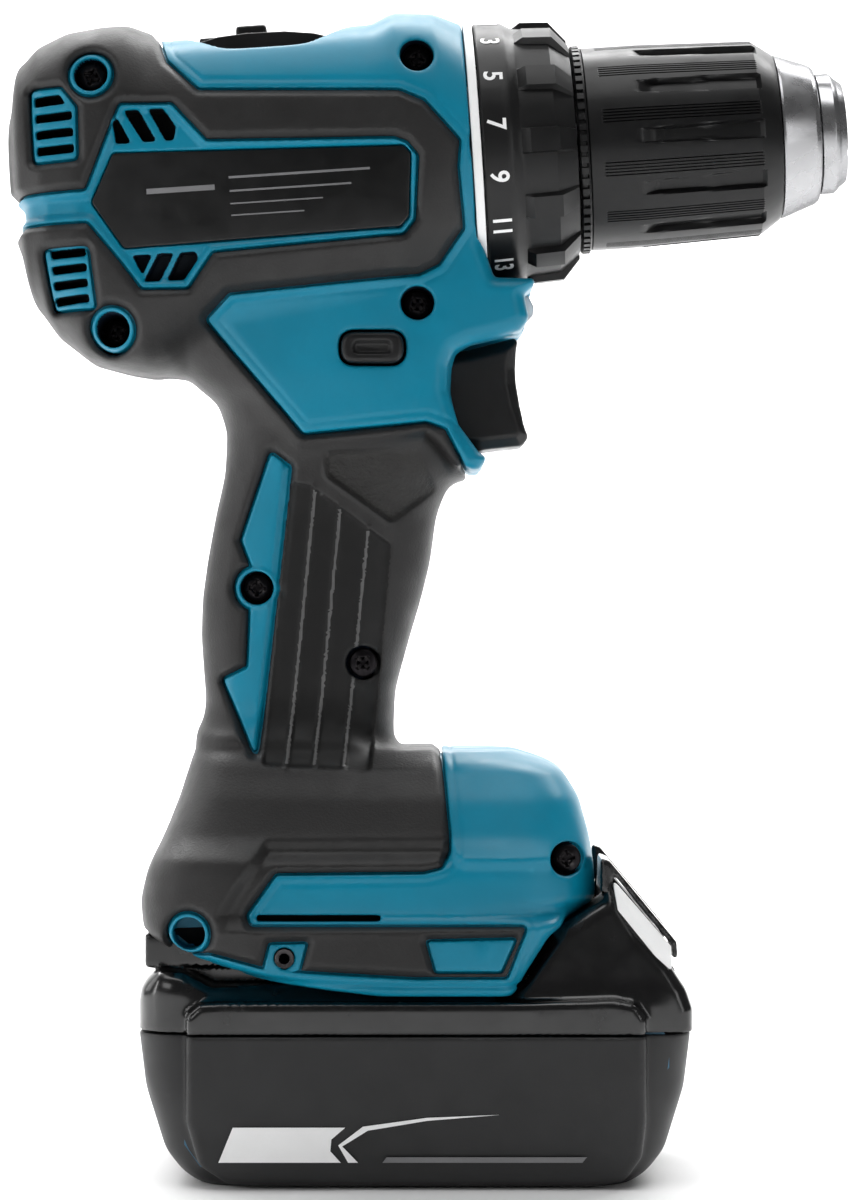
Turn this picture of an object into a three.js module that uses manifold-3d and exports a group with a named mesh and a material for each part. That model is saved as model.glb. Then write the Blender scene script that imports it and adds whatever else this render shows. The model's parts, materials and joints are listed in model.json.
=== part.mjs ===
// A cordless drill driver with its slide-on battery, as separate pieces that fit together.
// Millimetres, +X towards the chuck, +Y to the user's left, +Z up, standing on the battery's foot.
// The origin is on the floor, midway between the rear cap and the tip of the chuck.
import * as THREE from "three";
import { mergeVertices } from "three/addons/utils/BufferGeometryUtils.js";
import Module from "manifold-3d";

const wasm = await Module();
wasm.setup();

// ---------------------------------------------------------------- driving dimensions
const AXIS_TILT = THREE.MathUtils.degToRad(3.8); // the motor and chuck axis rises towards the chuck
const AXIS_HEIGHT = 213.5; // of that axis above the floor, at X = 0
const CLEARANCE = 0.3; // between neighbouring pieces
const RUBBER = 1.5; // thickness of the soft overmould
const WALL = 2.6; // thickness of the hard shell below it
const FUZZ = 0.06; // slivers smaller than this are cleaned away after cutting
const BOTH = [1, -1]; // the two mirrored sides
const THIRDS = [0, 1, 2].map((i) => (i * 2 * Math.PI) / 3);

// Along the tilted axis, from the rear to the chuck.
const COLLAR_BACK = 9; // front face of the housing
const POINTER = { back: 9.3, front: 11.1, radius: 28.2 };
const TORQUE = { back: 11.4, front: 31, radius: 28, ribs: 10 };
const NECK = { back: -5, seat: 4.4, front: 27.6, radius: 15 }; // tube of the gear case, with its spring seat
const GEAR_CASE = { back: -30.2, radius: 23.3, wall: 2.3 };
const MOTOR = { stator: [-60, -42], windings: 4, radius: 23, rotor: 11, shaft: 2.5 };
const FAN = { back: -80.3, front: -73, radius: 21.5, blades: 8 };
const SLEEVE = { back: 34, front: 74.8, radius: 21.3 };
const NOSE_TIP = 88.5;
const JAW = { count: 3, angle: THREE.MathUtils.degToRad(17), radius: 3.3, length: 26, tip: 86, opening: 6.5 };

// Planetary stages: sun, planet and ring teeth.
const TEETH = { sun: 8, planet: 16, ring: 40 };
const MODULE = 0.8;
const ORBIT = (MODULE * (TEETH.sun + TEETH.planet)) / 2;

// Across the tool.
const BARREL_HALF = 31.5;
const WEDGE_HALF = 22.5;
const BASE_HALF = 39.5;
const BATTERY_HALF = 37.5;
const TRIGGER_HALF = 11;

// Battery: the case, the deck that slides into the base, and the rails beside it.
const BATTERY = { rear: -59.3, front: 54.3, seam: 31.5, ledge: 38, deck: 51.5, deckHalf: 26, neckHalf: 21.5, rail: 44.2 };
const CELL_RADIUS = 9;

// ---------------------------------------------------------------- colours
const TEAL = { color: 0x0a7f99, roughness: 0.45, metalness: 0 };
const RUBBERY = { color: 0x2b2a2a, roughness: 0.8, metalness: 0 };
const BLACK = { color: 0x1a1a1b, roughness: 0.5, metalness: 0 };
const STEEL = { color: 0xb9bbbd, roughness: 0.3, metalness: 1 };
const DARK_STEEL = { color: 0x4a4b4d, roughness: 0.4, metalness: 1 };
const COPPER = { color: 0xb4703a, roughness: 0.35, metalness: 1 };
const ALLOY = { color: 0x9a9c9e, roughness: 0.5, metalness: 1 };
const WHITE = { color: 0xf0f0ee, roughness: 0.5, metalness: 0 };
const LENS = { color: 0xeef3f5, roughness: 0.1, metalness: 0 };
const BOARD = { color: 0x1f5a35, roughness: 0.6, metalness: 0 };
const CELL_WRAP = { color: 0x2f7f8f, roughness: 0.4, metalness: 0 };

// ---------------------------------------------------------------- geometry helpers

// A closed geometry as a solid for cutting and joining, with its faces turned outwards.
function solidOf(geometry) {
  const bare = geometry.clone();
  bare.deleteAttribute("normal");
  bare.deleteAttribute("uv");
  const merged = mergeVertices(bare, 1e-4);
  const kept = [];
  const index = merged.index.array;
  for (let i = 0; i < index.length; i += 3) {
    const [a, b, c] = index.slice(i, i + 3);
    if (a !== b && b !== c && c !== a) kept.push(a, b, c);
  }
  const make = (triangles) =>
    new wasm.Manifold(
      new wasm.Mesh({
        numProp: 3,
        vertProperties: merged.attributes.position.array,
        triVerts: new Uint32Array(triangles),
      }),
    );
  const solid = make(kept);
  return solid.volume() > 0 ? solid : make(kept.reverse());
}

function geometryOf(solid) {
  const mesh = solid.getMesh();
  const geometry = new THREE.BufferGeometry();
  geometry.setAttribute("position", new THREE.BufferAttribute(mesh.vertProperties, 3));
  geometry.setIndex(new THREE.BufferAttribute(mesh.triVerts, 1));
  return geometry;
}

const join = (solids) => solids.reduce((all, one) => all.add(one));
const cut = (solid, tools) => tools.reduce((left, tool) => left.subtract(tool), solid);

// A shape from [x, y] corners.
const outline = (corners) => new THREE.Shape(corners.map(([x, y]) => new THREE.Vector2(x, y)));

function circle(x, y, radius, sides = 12) {
  const corners = Array.from({ length: sides }, (_, i) => {
    const angle = ((i + 0.5) * 2 * Math.PI) / sides;
    return [x + radius * Math.cos(angle), y + radius * Math.sin(angle)];
  });
  return outline(corners);
}

// A stadium-ended or round-cornered rectangle.
function roundRect(x0, y0, x1, y1, radius, steps = 3) {
  const corners = [
    [x1 - radius, y1 - radius, 0],
    [x0 + radius, y1 - radius, 1],
    [x0 + radius, y0 + radius, 2],
    [x1 - radius, y0 + radius, 3],
  ];
  return outline(
    corners.flatMap(([x, y, quarter]) =>
      Array.from({ length: steps + 1 }, (_, i) => {
        const angle = ((quarter + i / steps) * Math.PI) / 2;
        return [x + radius * Math.cos(angle), y + radius * Math.sin(angle)];
      }),
    ),
  );
}

// A side-view shape, drawn as [X, Z] and grown by an offset, given thickness from y0 to y1.
function sideSlab(shape, y0, y1, bevelOffset = 0) {
  const bevel = { bevelEnabled: bevelOffset !== 0, bevelOffset, bevelSize: 0, bevelThickness: 0, bevelSegments: 1 };
  const geometry = new THREE.ExtrudeGeometry(shape, { depth: y1 - y0, ...bevel });
  return solidOf(geometry.rotateX(Math.PI / 2).translate(0, y1, 0));
}

// The same with its two edges chamfered inside the drawn outline.
function chamferedSlab(shape, y0, y1, chamfer, steps = 2) {
  const geometry = new THREE.ExtrudeGeometry(shape, {
    depth: y1 - y0 - 2 * chamfer,
    bevelSize: chamfer,
    bevelThickness: chamfer,
    bevelOffset: -chamfer,
    bevelSegments: steps,
  });
  return solidOf(geometry.rotateX(Math.PI / 2).translate(0, y1 - chamfer, 0));
}

// A plan-view shape, drawn as [X, Y], given height from z0 to z1.
function planSlab(shape, z0, z1) {
  return solidOf(new THREE.ExtrudeGeometry(shape, { depth: z1 - z0, bevelEnabled: false }).translate(0, 0, z0));
}

// A shape drawn across the X axis, angle 0 pointing down and turning about +X, from x0 to x1.
function crossSlab(shape, x0, x1) {
  const geometry = new THREE.ExtrudeGeometry(shape, { depth: x1 - x0, bevelEnabled: false });
  return solidOf(geometry.rotateY(Math.PI / 2).translate(x0, 0, 0));
}

function box(x0, x1, y0, y1, z0, z1) {
  const geometry = new THREE.BoxGeometry(x1 - x0, y1 - y0, z1 - z0);
  return solidOf(geometry.translate((x0 + x1) / 2, (y0 + y1) / 2, (z0 + z1) / 2));
}

// A profile of [x, radius] points turned about the X axis. It closes on itself.
function turned(profile, sides = 24) {
  const points = [...profile, profile[0]].map(([x, radius]) => new THREE.Vector2(radius, x));
  return solidOf(new THREE.LatheGeometry(points, sides).rotateZ(-Math.PI / 2));
}

const tube = (x0, x1, outer, inner, sides) =>
  turned([[x0, inner], [x1, inner], [x1, outer], [x0, outer]], sides);
const rod = (x0, x1, radius, sides) => turned([[x0, 0], [x1, 0], [x1, radius], [x0, radius]], sides);

// A solid in the tilted axis frame, moved to the part's frame.
function tilted(solid) {
  const matrix = new THREE.Matrix4().makeRotationY(-AXIS_TILT).setPosition(0, 0, AXIS_HEIGHT);
  return solid.transform(matrix.toArray());
}

// Tilted [x, z] corners as corners of the part's frame.
const tiltedCorners = (corners) =>
  corners.map(([x, z]) => [
    x * Math.cos(AXIS_TILT) - z * Math.sin(AXIS_TILT),
    x * Math.sin(AXIS_TILT) + z * Math.cos(AXIS_TILT) + AXIS_HEIGHT,
  ]);

const placed = (solid, x, y, z) => solid.translate([x, y, z]);

// Rings of points, each a list of Vector3 of one length, skinned into a closed solid.
function lofted(rings) {
  const count = rings[0].length;
  const positions = rings.flat().flatMap((p) => [p.x, p.y, p.z]);
  const triangles = [];
  rings.slice(1).forEach((_, r) => {
    for (let i = 0; i < count; i++) {
      const [a, b] = [r * count + i, r * count + ((i + 1) % count)];
      triangles.push(a, b, b + count, a, b + count, a + count);
    }
  });
  const last = (rings.length - 1) * count;
  for (let i = 1; i < count - 1; i++) {
    triangles.push(0, i + 1, i, last, last + i, last + i + 1);
  }
  const geometry = new THREE.BufferGeometry();
  geometry.setAttribute("position", new THREE.Float32BufferAttribute(positions, 3));
  geometry.setIndex(triangles);
  return solidOf(geometry);
}

// Points of a squarish oval: [u, v] about a centre, with half sizes and a roundness power.
function oval(centreU, centreV, halfU, halfV, power, count) {
  return Array.from({ length: count }, (_, i) => {
    const angle = ((i + 0.5) * 2 * Math.PI) / count;
    const [c, s] = [Math.cos(angle), Math.sin(angle)];
    const u = Math.sign(c) * Math.abs(c) ** (2 / power);
    const v = Math.sign(s) * Math.abs(s) ** (2 / power);
    return [centreU + halfU * u, centreV + halfV * v];
  });
}

// ---------------------------------------------------------------- the outer body, shrunk by an inset

// Motor housing: [x, top, bottom, half width, power] along the tilted axis.
const BARREL_STATIONS = [
  [-87.8, 17, -18, 18, 2.6],
  [-86, 24, -24, 24, 2.8],
  [-81, 28.8, -31, 28.5, 3],
  [-74, 31, -36, 31, 3.2],
  [-62, 31.8, -37.5, 31.5, 3.2],
  [-54, 28.6, -36, 31.5, 3.2],
  [-10, 29, -31, 31.5, 3],
  [-5, 31.4, -30, 31, 2.8],
  [3, 31, -29, 29.5, 2.4],
  [COLLAR_BACK, 28.2, -28.2, 28.2, 2],
];

// Hidden inner faces have fewer corners and only some of the stations.
const isInside = (inset) => inset > 2 * RUBBER;
const facets = (inset) => (isInside(inset) ? 10 : 16);
const chosen = (stations, inset, inner) => (isInside(inset) ? inner.map((i) => stations[i]) : stations);

function barrelBody(inset) {
  const rings = chosen(BARREL_STATIONS, inset, [0, 2, 5, 6, 9]).map(([x, top, bottom, half, power], i) => {
    const end = i === 0 ? inset : 0;
    const ring = oval(0, (top + bottom) / 2, half - inset, (top - bottom) / 2 - inset, power, facets(inset));
    return ring.map(([y, z]) => new THREE.Vector3(x + end, y, z));
  });
  return tilted(lofted(rings));
}

// Handle: [z, rear X, front X, half width] up the grip.
const GRIP_STATIONS = [
  [66, -47, -4, 19],
  [86, -45.6, -6, 18.5],
  [98, -46.3, -7.4, 17.5],
  [112, -47.4, -4.4, 17.5],
  [125, -46.6, -0.4, 17.5],
  [137, -44.6, 1.6, 17.5],
  [147, -42.4, 6.5, 18.5],
  [156, -41.9, 4.6, 20],
  [162, -43.4, 4.2, 21],
  [167, -50, 5, 22],
  [190, -58, 6, 24],
];

function gripBody(inset) {
  const rings = chosen(GRIP_STATIONS, inset, [0, 2, 4, 6, 9, 10]).map(([z, rear, front, half]) =>
    oval((rear + front) / 2, 0, (front - rear) / 2 - inset, half - inset, 2.8, facets(inset)).map(
      ([x, y]) => new THREE.Vector3(x, y, z),
    ),
  );
  return lofted(rings);
}

// The flat-sided wedge round the trigger, down to the guard that curls below it.
const WEDGE = [
  [-46, 180], [-44, 196], [10, 198], [14, 187], [22.2, 186.8], [22.2, 185.2], [20.2, 183.2],
  [21, 178.4], [19.3, 176], [15.4, 174.7], [9, 173.2], [5.6, 171.5], [4.4, 168.5], [4.3, 163.5],
  [6.6, 156.3], [10.7, 150.8], [12.4, 149.6], [11.3, 147.3], [7.7, 146.8], [0, 155], [-26, 154],
];

const WEDGE_INSIDE = [[-40, 176], [-40, 196], [8, 196], [8, 181], [17, 181], [15, 178.6], [2, 172], [-2, 160], [-26, 158]];

// Deep inside, the wedge is a plainer pocket that keeps the curled guard solid.
function wedgeBody(inset) {
  const corners = isInside(inset) ? WEDGE_INSIDE : WEDGE;
  return chamferedSlab(outline(corners), inset - WEDGE_HALF, WEDGE_HALF - inset, 0.5, 1);
}

// Foot that takes the battery: [z, rear X, front X, half width] upwards.
const BASE_STATIONS = [
  [39.6, -14, 18, 37.5],
  [41.6, -33, 19, 39],
  [44.4, -43, 20.6, BASE_HALF],
  [48, -52, 23, BASE_HALF],
  [52.2, -58.3, 25.7, BASE_HALF],
  [58, -58.6, 35, BASE_HALF],
  [66, -56.4, 34.6, 38],
  [71, -53.6, 34, 32.5],
  [79, -49.2, 31.6, 29],
  [85, -46.5, 27.8, 24],
  [88.2, -45, 18, 19],
];

function baseBody(inset) {
  const top = BASE_STATIONS.at(-1)[0];
  const rings = chosen(BASE_STATIONS, inset, [0, 2, 4, 5, 7, 10]).map(([z, rear, front, half]) => {
    const rise = z === top ? -inset : 0;
    return oval((rear + front) / 2, 0, (front - rear) / 2 - inset, half - inset, 5, facets(inset)).map(
      ([x, y]) => new THREE.Vector3(x, y, z + rise),
    );
  });
  return lofted(rings);
}

const outerBody = (inset) => join([barrelBody(inset), gripBody(inset), wedgeBody(inset), baseBody(inset)]);

// ---------------------------------------------------------------- regions of the side view

// Where the overmould lies: rear cap, bands round the rating plate, grip and back of the foot.
const OVERMOULD_EDGE = [
  ...tiltedCorners([
    [-54.4, 44], [-54.4, 28], [-52.2, 21], [-46, 14.4], [-4.9, 11.6], [0.1, 9.2], [7, 0.5],
    [6.2, -4.7], [6.6, -17.1], [1, -24.3], [-3.3, -26.1],
  ]),
  [-40.6, 183], [-45.7, 178], [-25.6, 154.5], [-0.1, 157], [4, 155.6], [8, 147.6], [14, 144],
  [14, 92], [2.2, 92], [3.4, 86], [4.6, 72.2], [1.3, 67.1], [-31, 64], [-36.5, 55.9], [-35.7, 54],
  [20.5, 54], [16.3, 43.3], [-2.3, 43.3], [-32, 45], [-44, 48], [-52, 47], [-70, 47], [-70, 150],
  ...tiltedCorners([
    [-96, -60], [-96, -10.6], [-70.4, -11.4], [-64, -20.1], [-60.3, -25.7], [-50.9, -26.1],
    [-45.3, -19.1], [-6, -17.8], [-3.6, -15.1], [-2.1, -2.2], [-4.2, 0.6], [-6.6, 1.6],
    [-45, 3.5], [-51.7, 11.7], [-62.3, 12.2], [-70.3, -5], [-96, -4.8], [-96, 44],
  ]),
];

const REAR_WINDOWS = [
  [[-80.6, 1.4], [-71.6, 1.4], [-71.4, 12.4], [-74, 16], [-80.6, 16.4]],
  [[-78.8, -28.2], [-70.2, -28.8], [-70.8, -16.8], [-79.9, -16.6]],
];
const GRIP_STRIP = [
  [-32.5, 150.8], [-28.4, 147.7], [-35.3, 87], [-42.7, 103.4], [-37.4, 106], [-36.6, 127], [-38.8, 132.5],
];
const FOOT_WINDOWS = [
  [[-33.3, 44.9], [-25.8, 44.9], [-24.2, 50.4], [-31.9, 50.2]],
  [[1.7, 44.8], [15.1, 44.8], [18.1, 51.2], [-0.1, 50.8]],
];
const PLATE = [
  [-69.6, -7.4], [-64.6, 2.6], [-4.9, 0.3], [-3.1, -1.6], [-4.3, -14.6], [-6.4, -16.7], [-63.6, -17.6],
];

// Housing screws as [X, Z, half width of the body there].
const tiltedScrew = (x, z, half) => [...tiltedCorners([[x, z]])[0], half];
const SCREWS = [
  tiltedScrew(-67.9, 19, 27), tiltedScrew(-67, -33.4, 15), tiltedScrew(-0.9, 18.8, 21),
  tiltedScrew(-4.1, -31.8, 19), [-35.5, 122.5, 14.6], [-13.4, 106.9, 16.5], [28.6, 67, 30],
];
const SCREW = { head: 3, shank: 1.4, recess: 3.4, collar: 4.4 };
const FOOT_WELL = [-48.4, 52.2]; // moulded well in the corner of the foot
const HOOK_HOLE = [-28.9, 47.4]; // threaded insert for a belt hook

// The region between two depths, drawn in by a gap all round.
function overmouldRegion(gap, y0, y1) {
  const [upperRear, lowerRear, , , gripRear, gripFront] = SCREWS;
  const holes = [
    ...REAR_WINDOWS.map((corners) => outline(tiltedCorners(corners))),
    outline(GRIP_STRIP),
    ...FOOT_WINDOWS.map((corners) => outline(corners)),
    ...[upperRear, lowerRear, gripRear].map(([x, z]) => circle(x, z, SCREW.collar)),
    circle(gripFront[0], gripFront[1], SCREW.recess),
    circle(...FOOT_WELL, SCREW.collar),
  ];
  return cut(
    sideSlab(outline(OVERMOULD_EDGE), y0, y1, -gap),
    holes.map((hole) => sideSlab(hole, y0 - 1, y1 + 1, gap)),
  );
}

// ---------------------------------------------------------------- housing shells

const slot = (x0, x1, z0, z1) => outline(tiltedCorners([[x0, z0], [x1, z0], [x1, z1], [x0, z1]]));

// Air slots, as side-view shapes.
const AIR_SLOTS = [
  ...[3, 6.4, 9.8, 13.2].map((z) => slot(-79.8, z > 13 ? -74.6 : -72.4, z, z + 1.7)),
  ...[-27.4, -24.4, -21.4, -18.4].map((z) => slot(-78.4, -71.2, z, z + 1.5)),
  ...[-60.6, -57.4, -54.2].map((x) =>
    outline(tiltedCorners([[x, 4.6], [x + 1.9, 4.6], [x - 0.6, 10.8], [x - 2.5, 10.8]])),
  ),
  ...[-60, -56.8, -53.6].map((x) =>
    outline(tiltedCorners([[x - 1.4, -24.8], [x + 0.6, -24.8], [x + 2.6, -20], [x + 0.6, -20]])),
  ),
];

// Ribs that hold the motor and the gear case: [from, to, bore radius].
const RIBS = [
  [-57, -54, MOTOR.radius + CLEARANCE],
  [-27, -24, GEAR_CASE.radius + CLEARANCE],
];

function housingInside() {
  const barrel = tilted(tube(-96, COLLAR_BACK + 4, 60, 0.01, 8));
  const ribs = RIBS.map(([x0, x1, bore]) => tilted(tube(x0, x1, 40, bore, 20)));
  const bosses = SCREWS.map(([x, z]) => sideSlab(circle(x, z, 3.6, 6), -45, 45));
  const hollow = outerBody(RUBBER + WALL);
  const held = join([...ribs, ...bosses]).intersect(barrel.add(box(-60, 40, -45, 45, 60, 170)));
  return hollow.subtract(held);
}

// Channel in the foot for the battery's deck, with a rail each side below it, and its notch for the latch.
function batteryChannel() {
  const { deck, deckHalf, neckHalf, rail } = BATTERY;
  const room = CLEARANCE;
  return join([
    box(-70, 60, -deckHalf - room, deckHalf + room, rail - room, deck + room),
    box(-70, 60, -neckHalf - room, neckHalf + room, 30, rail),
    box(14, 60, -34, 34, 30, deck + room),
    box(-18, 60, -8, 8, deck, deck + 4),
  ]);
}

function housing() {
  const skin = overmouldRegion(0, -60, 60).subtract(outerBody(RUBBER));
  const screwWells = SCREWS.map(([x, z, half]) => sideSlab(circle(x, z, SCREW.recess), -60, -half + 4));
  const screwBores = SCREWS.map(([x, z]) => sideSlab(circle(x, z, SCREW.shank + CLEARANCE, 8), -60, 18));
  const wells = BOTH.map((side) => placed(sideSlab(circle(...FOOT_WELL, 3.3), -5, 5), 0, side * 37, 0));
  const inserts = BOTH.map((side) => placed(sideSlab(circle(...HOOK_HOLE, 2.3, 12), -4, 4), 0, side * 37, 0));
  const plates = BOTH.map((side) => placed(sideSlab(outline(tiltedCorners(PLATE)), -6, 6), 0, side * (28.6 + 6), 0));
  const openings = [
    ...AIR_SLOTS.map((shape) => sideSlab(shape, -60, 60)),
    tilted(rod(0, COLLAR_BACK + 5, 22, 20)), // front mouth round the clutch
    tilted(rod(COLLAR_BACK, 40, TORQUE.radius + 0.9, 28)), // room for the clutch collar above the lamp
    tilted(rod(-86.2, -80, 8.3, 16)), // seat of the rear bearing
    tilted(box(-48.5, -14, -11.3, 11.3, 26.2, 40)), // pocket of the speed selector
    box(-9, 30, -TRIGGER_HALF - 0.6, TRIGGER_HALF + 0.6, 150.2, 176.4), // trigger
    sideSlab(roundRect(-18.2, 168.5, -4.4, 175.8, 3.4), -60, 60), // direction lever
    box(15.5, 30, -5.3, 5.3, 177.8, 184), // lamp
    batteryChannel(),
  ];
  const shell = cut(outerBody(0), [skin, housingInside(), ...screwWells, ...screwBores, ...wells, ...inserts]);
  return cut(shell, [...plates, ...openings]);
}

const sideOf = (solid, side) =>
  solid.intersect(side > 0 ? box(-120, 120, 0.05, 80, 0, 300) : box(-120, 120, -80, -0.05, 0, 300));

// The largest body of a solid, without the crumbs and slivers that cutting leaves.
function mainBody(solid) {
  const largest = solid.decompose().reduce((best, one) => (one.volume() > best.volume() ? one : best));
  return largest.asOriginal().simplify(FUZZ);
}

function overmould() {
  const grown = outerBody(RUBBER - CLEARANCE);
  return overmouldRegion(CLEARANCE, -60, 60)
    .intersect(outerBody(0))
    .subtract(grown)
    .subtract(tilted(rod(4, 20, 40, 24)))
    .subtract(tilted(box(-49, -13, -12, 12, 24, 40)))
    .subtract(box(-70, 60, -60, 60, 30, 43.6))
    .subtract(batteryChannel())
    .subtract(box(-9, 30, -TRIGGER_HALF - 0.6, TRIGGER_HALF + 0.6, 150.2, 176.4));
}

const ratingPlate = (side) =>
  placed(sideSlab(outline(tiltedCorners(PLATE.map(([x, z]) => [x * 0.994 - 0.2, z * 0.98 - 0.1]))), -0.4, 0.4),
    0, side * 29.3, 0);

function housingScrew() {
  const profile = [
    [-8, 0], [8.6, 0], [7, SCREW.shank], [-6, SCREW.shank], [-6, SCREW.head], [-7.4, SCREW.head * 0.85],
    [-8, SCREW.head * 0.5],
  ];
  const cross = [
    box(-9, -6.8, -0.35, 0.35, -1.5, 1.5),
    box(-9, -6.8, -1.5, 1.5, -0.35, 0.35),
  ];
  return cut(turned(profile, 10), cross).transform(new THREE.Matrix4().makeRotationZ(Math.PI / 2).toArray());
}

const hookInsert = () => cut(sideSlab(circle(0, 0, 2, 10), -3, 3), [sideSlab(circle(0, 0, 1.2, 8), -4, 4)]);

// ---------------------------------------------------------------- gears

// Half the angle that a tooth takes up at a radius, for an involute flank.
function halfTooth(teeth, radius, share) {
  const pitch = (MODULE * teeth) / 2;
  const base = pitch * Math.cos(THREE.MathUtils.degToRad(20));
  const involute = (r) => {
    const angle = Math.acos(Math.min(1, base / r));
    return Math.tan(angle) - angle;
  };
  return (Math.PI / (2 * teeth)) * share + involute(pitch) - involute(Math.max(radius, base));
}

// The outline of a gear. share is the tooth's thickness against half a pitch.
// Only the small sun needs a corner at its pitch circle: the flanks of the others are nearly straight.
function gearOutline(teeth, addendum, dedendum, share) {
  const pitch = (MODULE * teeth) / 2;
  const middle = teeth > 10 ? [] : [pitch];
  const radii = [pitch - dedendum * MODULE, ...middle, pitch + addendum * MODULE];
  const corners = [];
  for (let i = 0; i < teeth; i++) {
    const centre = (i * 2 * Math.PI) / teeth;
    const flank = radii.map((r) => [r, halfTooth(teeth, r, share)]);
    const both = [...flank.map(([r, a]) => [r, -a]), ...[...flank].reverse()];
    both.forEach(([r, a]) => corners.push([r * Math.cos(centre + a), r * Math.sin(centre + a)]));
  }
  return outline(corners);
}

const gear = (teeth, x0, x1) => crossSlab(gearOutline(teeth, 0.8, 1.15, 0.84), x0, x1);

function ringGear(x0, x1) {
  const space = gearOutline(TEETH.ring, 1.2, 0.8, 1.14);
  return rod(x0, x1, 20.7).subtract(crossSlab(space, x0 - 1, x1 + 1));
}

const planetGear = (length) =>
  gear(TEETH.planet, -length / 2, length / 2).subtract(rod(-length, length, 2.1, 8));

const halfPitch = (solid) => solid.rotate([180 / TEETH.sun, 0, 0]);

// A carrier's disc and its three pins, which point back into the planets.
function carrierDisc(x0, x1, pinBack) {
  const pins = THIRDS.map((angle) =>
    placed(rod(pinBack, x0 + 0.5, 1.8, 8), 0, ORBIT * Math.sin(angle), -ORBIT * Math.cos(angle)),
  );
  return join([rod(x0, x1, 14.3, 20), ...pins]);
}

const STAGE_1 = { back: -29.4, front: -22.9 };
const STAGE_2 = { back: -18.4, front: -11.2 };

const carrier1 = () =>
  carrierDisc(-21.9, -19.2, STAGE_1.back).add(halfPitch(gear(TEETH.sun, -19.3, STAGE_2.front)));

// ---------------------------------------------------------------- drive train, about the tilted axis

function gearCase() {
  const { back, radius, wall } = GEAR_CASE;
  return turned([
    [back, radius], [back, radius - wall], [-7.6, radius - wall], [-7.6, 6.6], [13.5, 6.6], [13.5, 11.3],
    [22.5, 11.3], [22.5, 8], [NECK.front, 8], [NECK.front, NECK.radius], [NECK.seat, NECK.radius],
    [NECK.seat, 20.6], [NECK.seat - 1.2, 20.6], [NECK.seat - 1.2, NECK.radius], [NECK.back, NECK.radius],
    [NECK.back, radius],
  ], 20);
}

const motorBracket = () => tube(-34.8, -30.5, 23.2, 8.3).add(tube(-31.5, -30.5, 9, 5.2));
const bearing = (x0, x1, outer, bore) => tube(x0, x1, outer, bore, 16);

// Six poles with their windings inside a laminated ring.
function stator() {
  const [back, front] = MOTOR.stator;
  const bore = MOTOR.rotor + 0.6;
  const poles = Array.from({ length: 6 }, (_, i) =>
    box(back - MOTOR.windings, front + MOTOR.windings, -4.6, 4.6, bore, MOTOR.radius - 3.4).rotate([60 * i, 0, 0]),
  );
  return join([tube(back, front, MOTOR.radius, MOTOR.radius - 4, 30), ...poles]);
}

function rotorCore() {
  const magnets = Array.from({ length: 4 }, (_, i) =>
    box(-62, -40, -4, 4, 7.6, 9.4).rotate([90 * i, 0, 0]),
  );
  return cut(rod(-61, -41, MOTOR.rotor), [rod(-70, -30, MOTOR.shaft + CLEARANCE, 12), ...magnets]);
}

function rotorShaft() {
  const shaft = turned([
    [-85, 0], [-30, 0], [-30, MOTOR.shaft], [-85, MOTOR.shaft],
  ], 12);
  return shaft.add(halfPitch(gear(TEETH.sun, -30.2, STAGE_1.front)));
}

function coolingFan() {
  const { back, front, radius, blades } = FAN;
  const vanes = Array.from({ length: blades }, (_, i) =>
    placed(box(-3.3, 3.3, -0.7, 0.7, 7, radius - 0.4).rotate([0, 0, 14]), (back + front) / 2 + 0.5, 0, 0)
      .rotate([(360 / blades) * i, 0, 0]),
  );
  const hub = tube(back, front, 7.6, MOTOR.shaft + CLEARANCE, 12);
  const disc = tube(back, back + 1.6, radius, 7);
  return join([hub, disc, ...vanes]).intersect(rod(back, front, radius));
}

const sensorBoard = () => tube(-36.9, -35.4, 20, 8.5, 20);

function spindle() {
  const shaft = rod(-9, 50, 5.9, 16);
  const disc = carrierDisc(-10.7, -8, STAGE_2.back);
  return join([disc, shaft]);
}

function coilSpring(x0, x1, radius, wire, turns, sides = 6) {
  class Helix extends THREE.Curve {
    getPoint(t, target = new THREE.Vector3()) {
      const angle = 2 * Math.PI * turns * t;
      const along = x0 + wire + (x1 - x0 - 2 * wire) * t;
      return target.set(along, radius * Math.cos(angle), radius * Math.sin(angle));
    }
  }
  const section = circle(0, 0, wire, sides);
  const settings = { steps: Math.round(turns * 12), extrudePath: new Helix(), bevelEnabled: false };
  return solidOf(new THREE.ExtrudeGeometry(section, settings));
}

// ---------------------------------------------------------------- clutch collar

function torqueRing() {
  const { back, front, radius, ribs } = TORQUE;
  const shell = turned([
    [back, radius], [back, 24.4], [front - 3, 24.4], [front - 3, NECK.radius + 0.6], [front, NECK.radius + 0.6],
    [front, 21.8], [front - 3.2, radius - 1.2],
  ], 30);
  const rib = outline([[19.4, 26], [front - 2.4, 26], [front - 3.6, 27.8], [21, 28.4]]);
  const raised = Array.from({ length: ribs }, (_, i) =>
    sideSlab(rib, -3, 3).rotate([(360 / ribs) * i, 0, 0]),
  );
  return join([shell, ...raised]);
}

const pointerRing = () => tube(POINTER.back, POINTER.front, POINTER.radius, 24.4, 32);

// ---------------------------------------------------------------- chuck

// A jaw or its bore: a rod that leans inwards to meet the axis at the closed tip. angle is its place round the axis.
function leaningRod(radius, back, front, angle, sides = 10) {
  const lean = THREE.MathUtils.radToDeg(JAW.angle);
  return placed(rod(-back, front, radius, sides).rotate([0, lean, 0]), JAW.tip, 0, 0).rotate([
    THREE.MathUtils.radToDeg(angle), 0, 0,
  ]);
}

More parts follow.
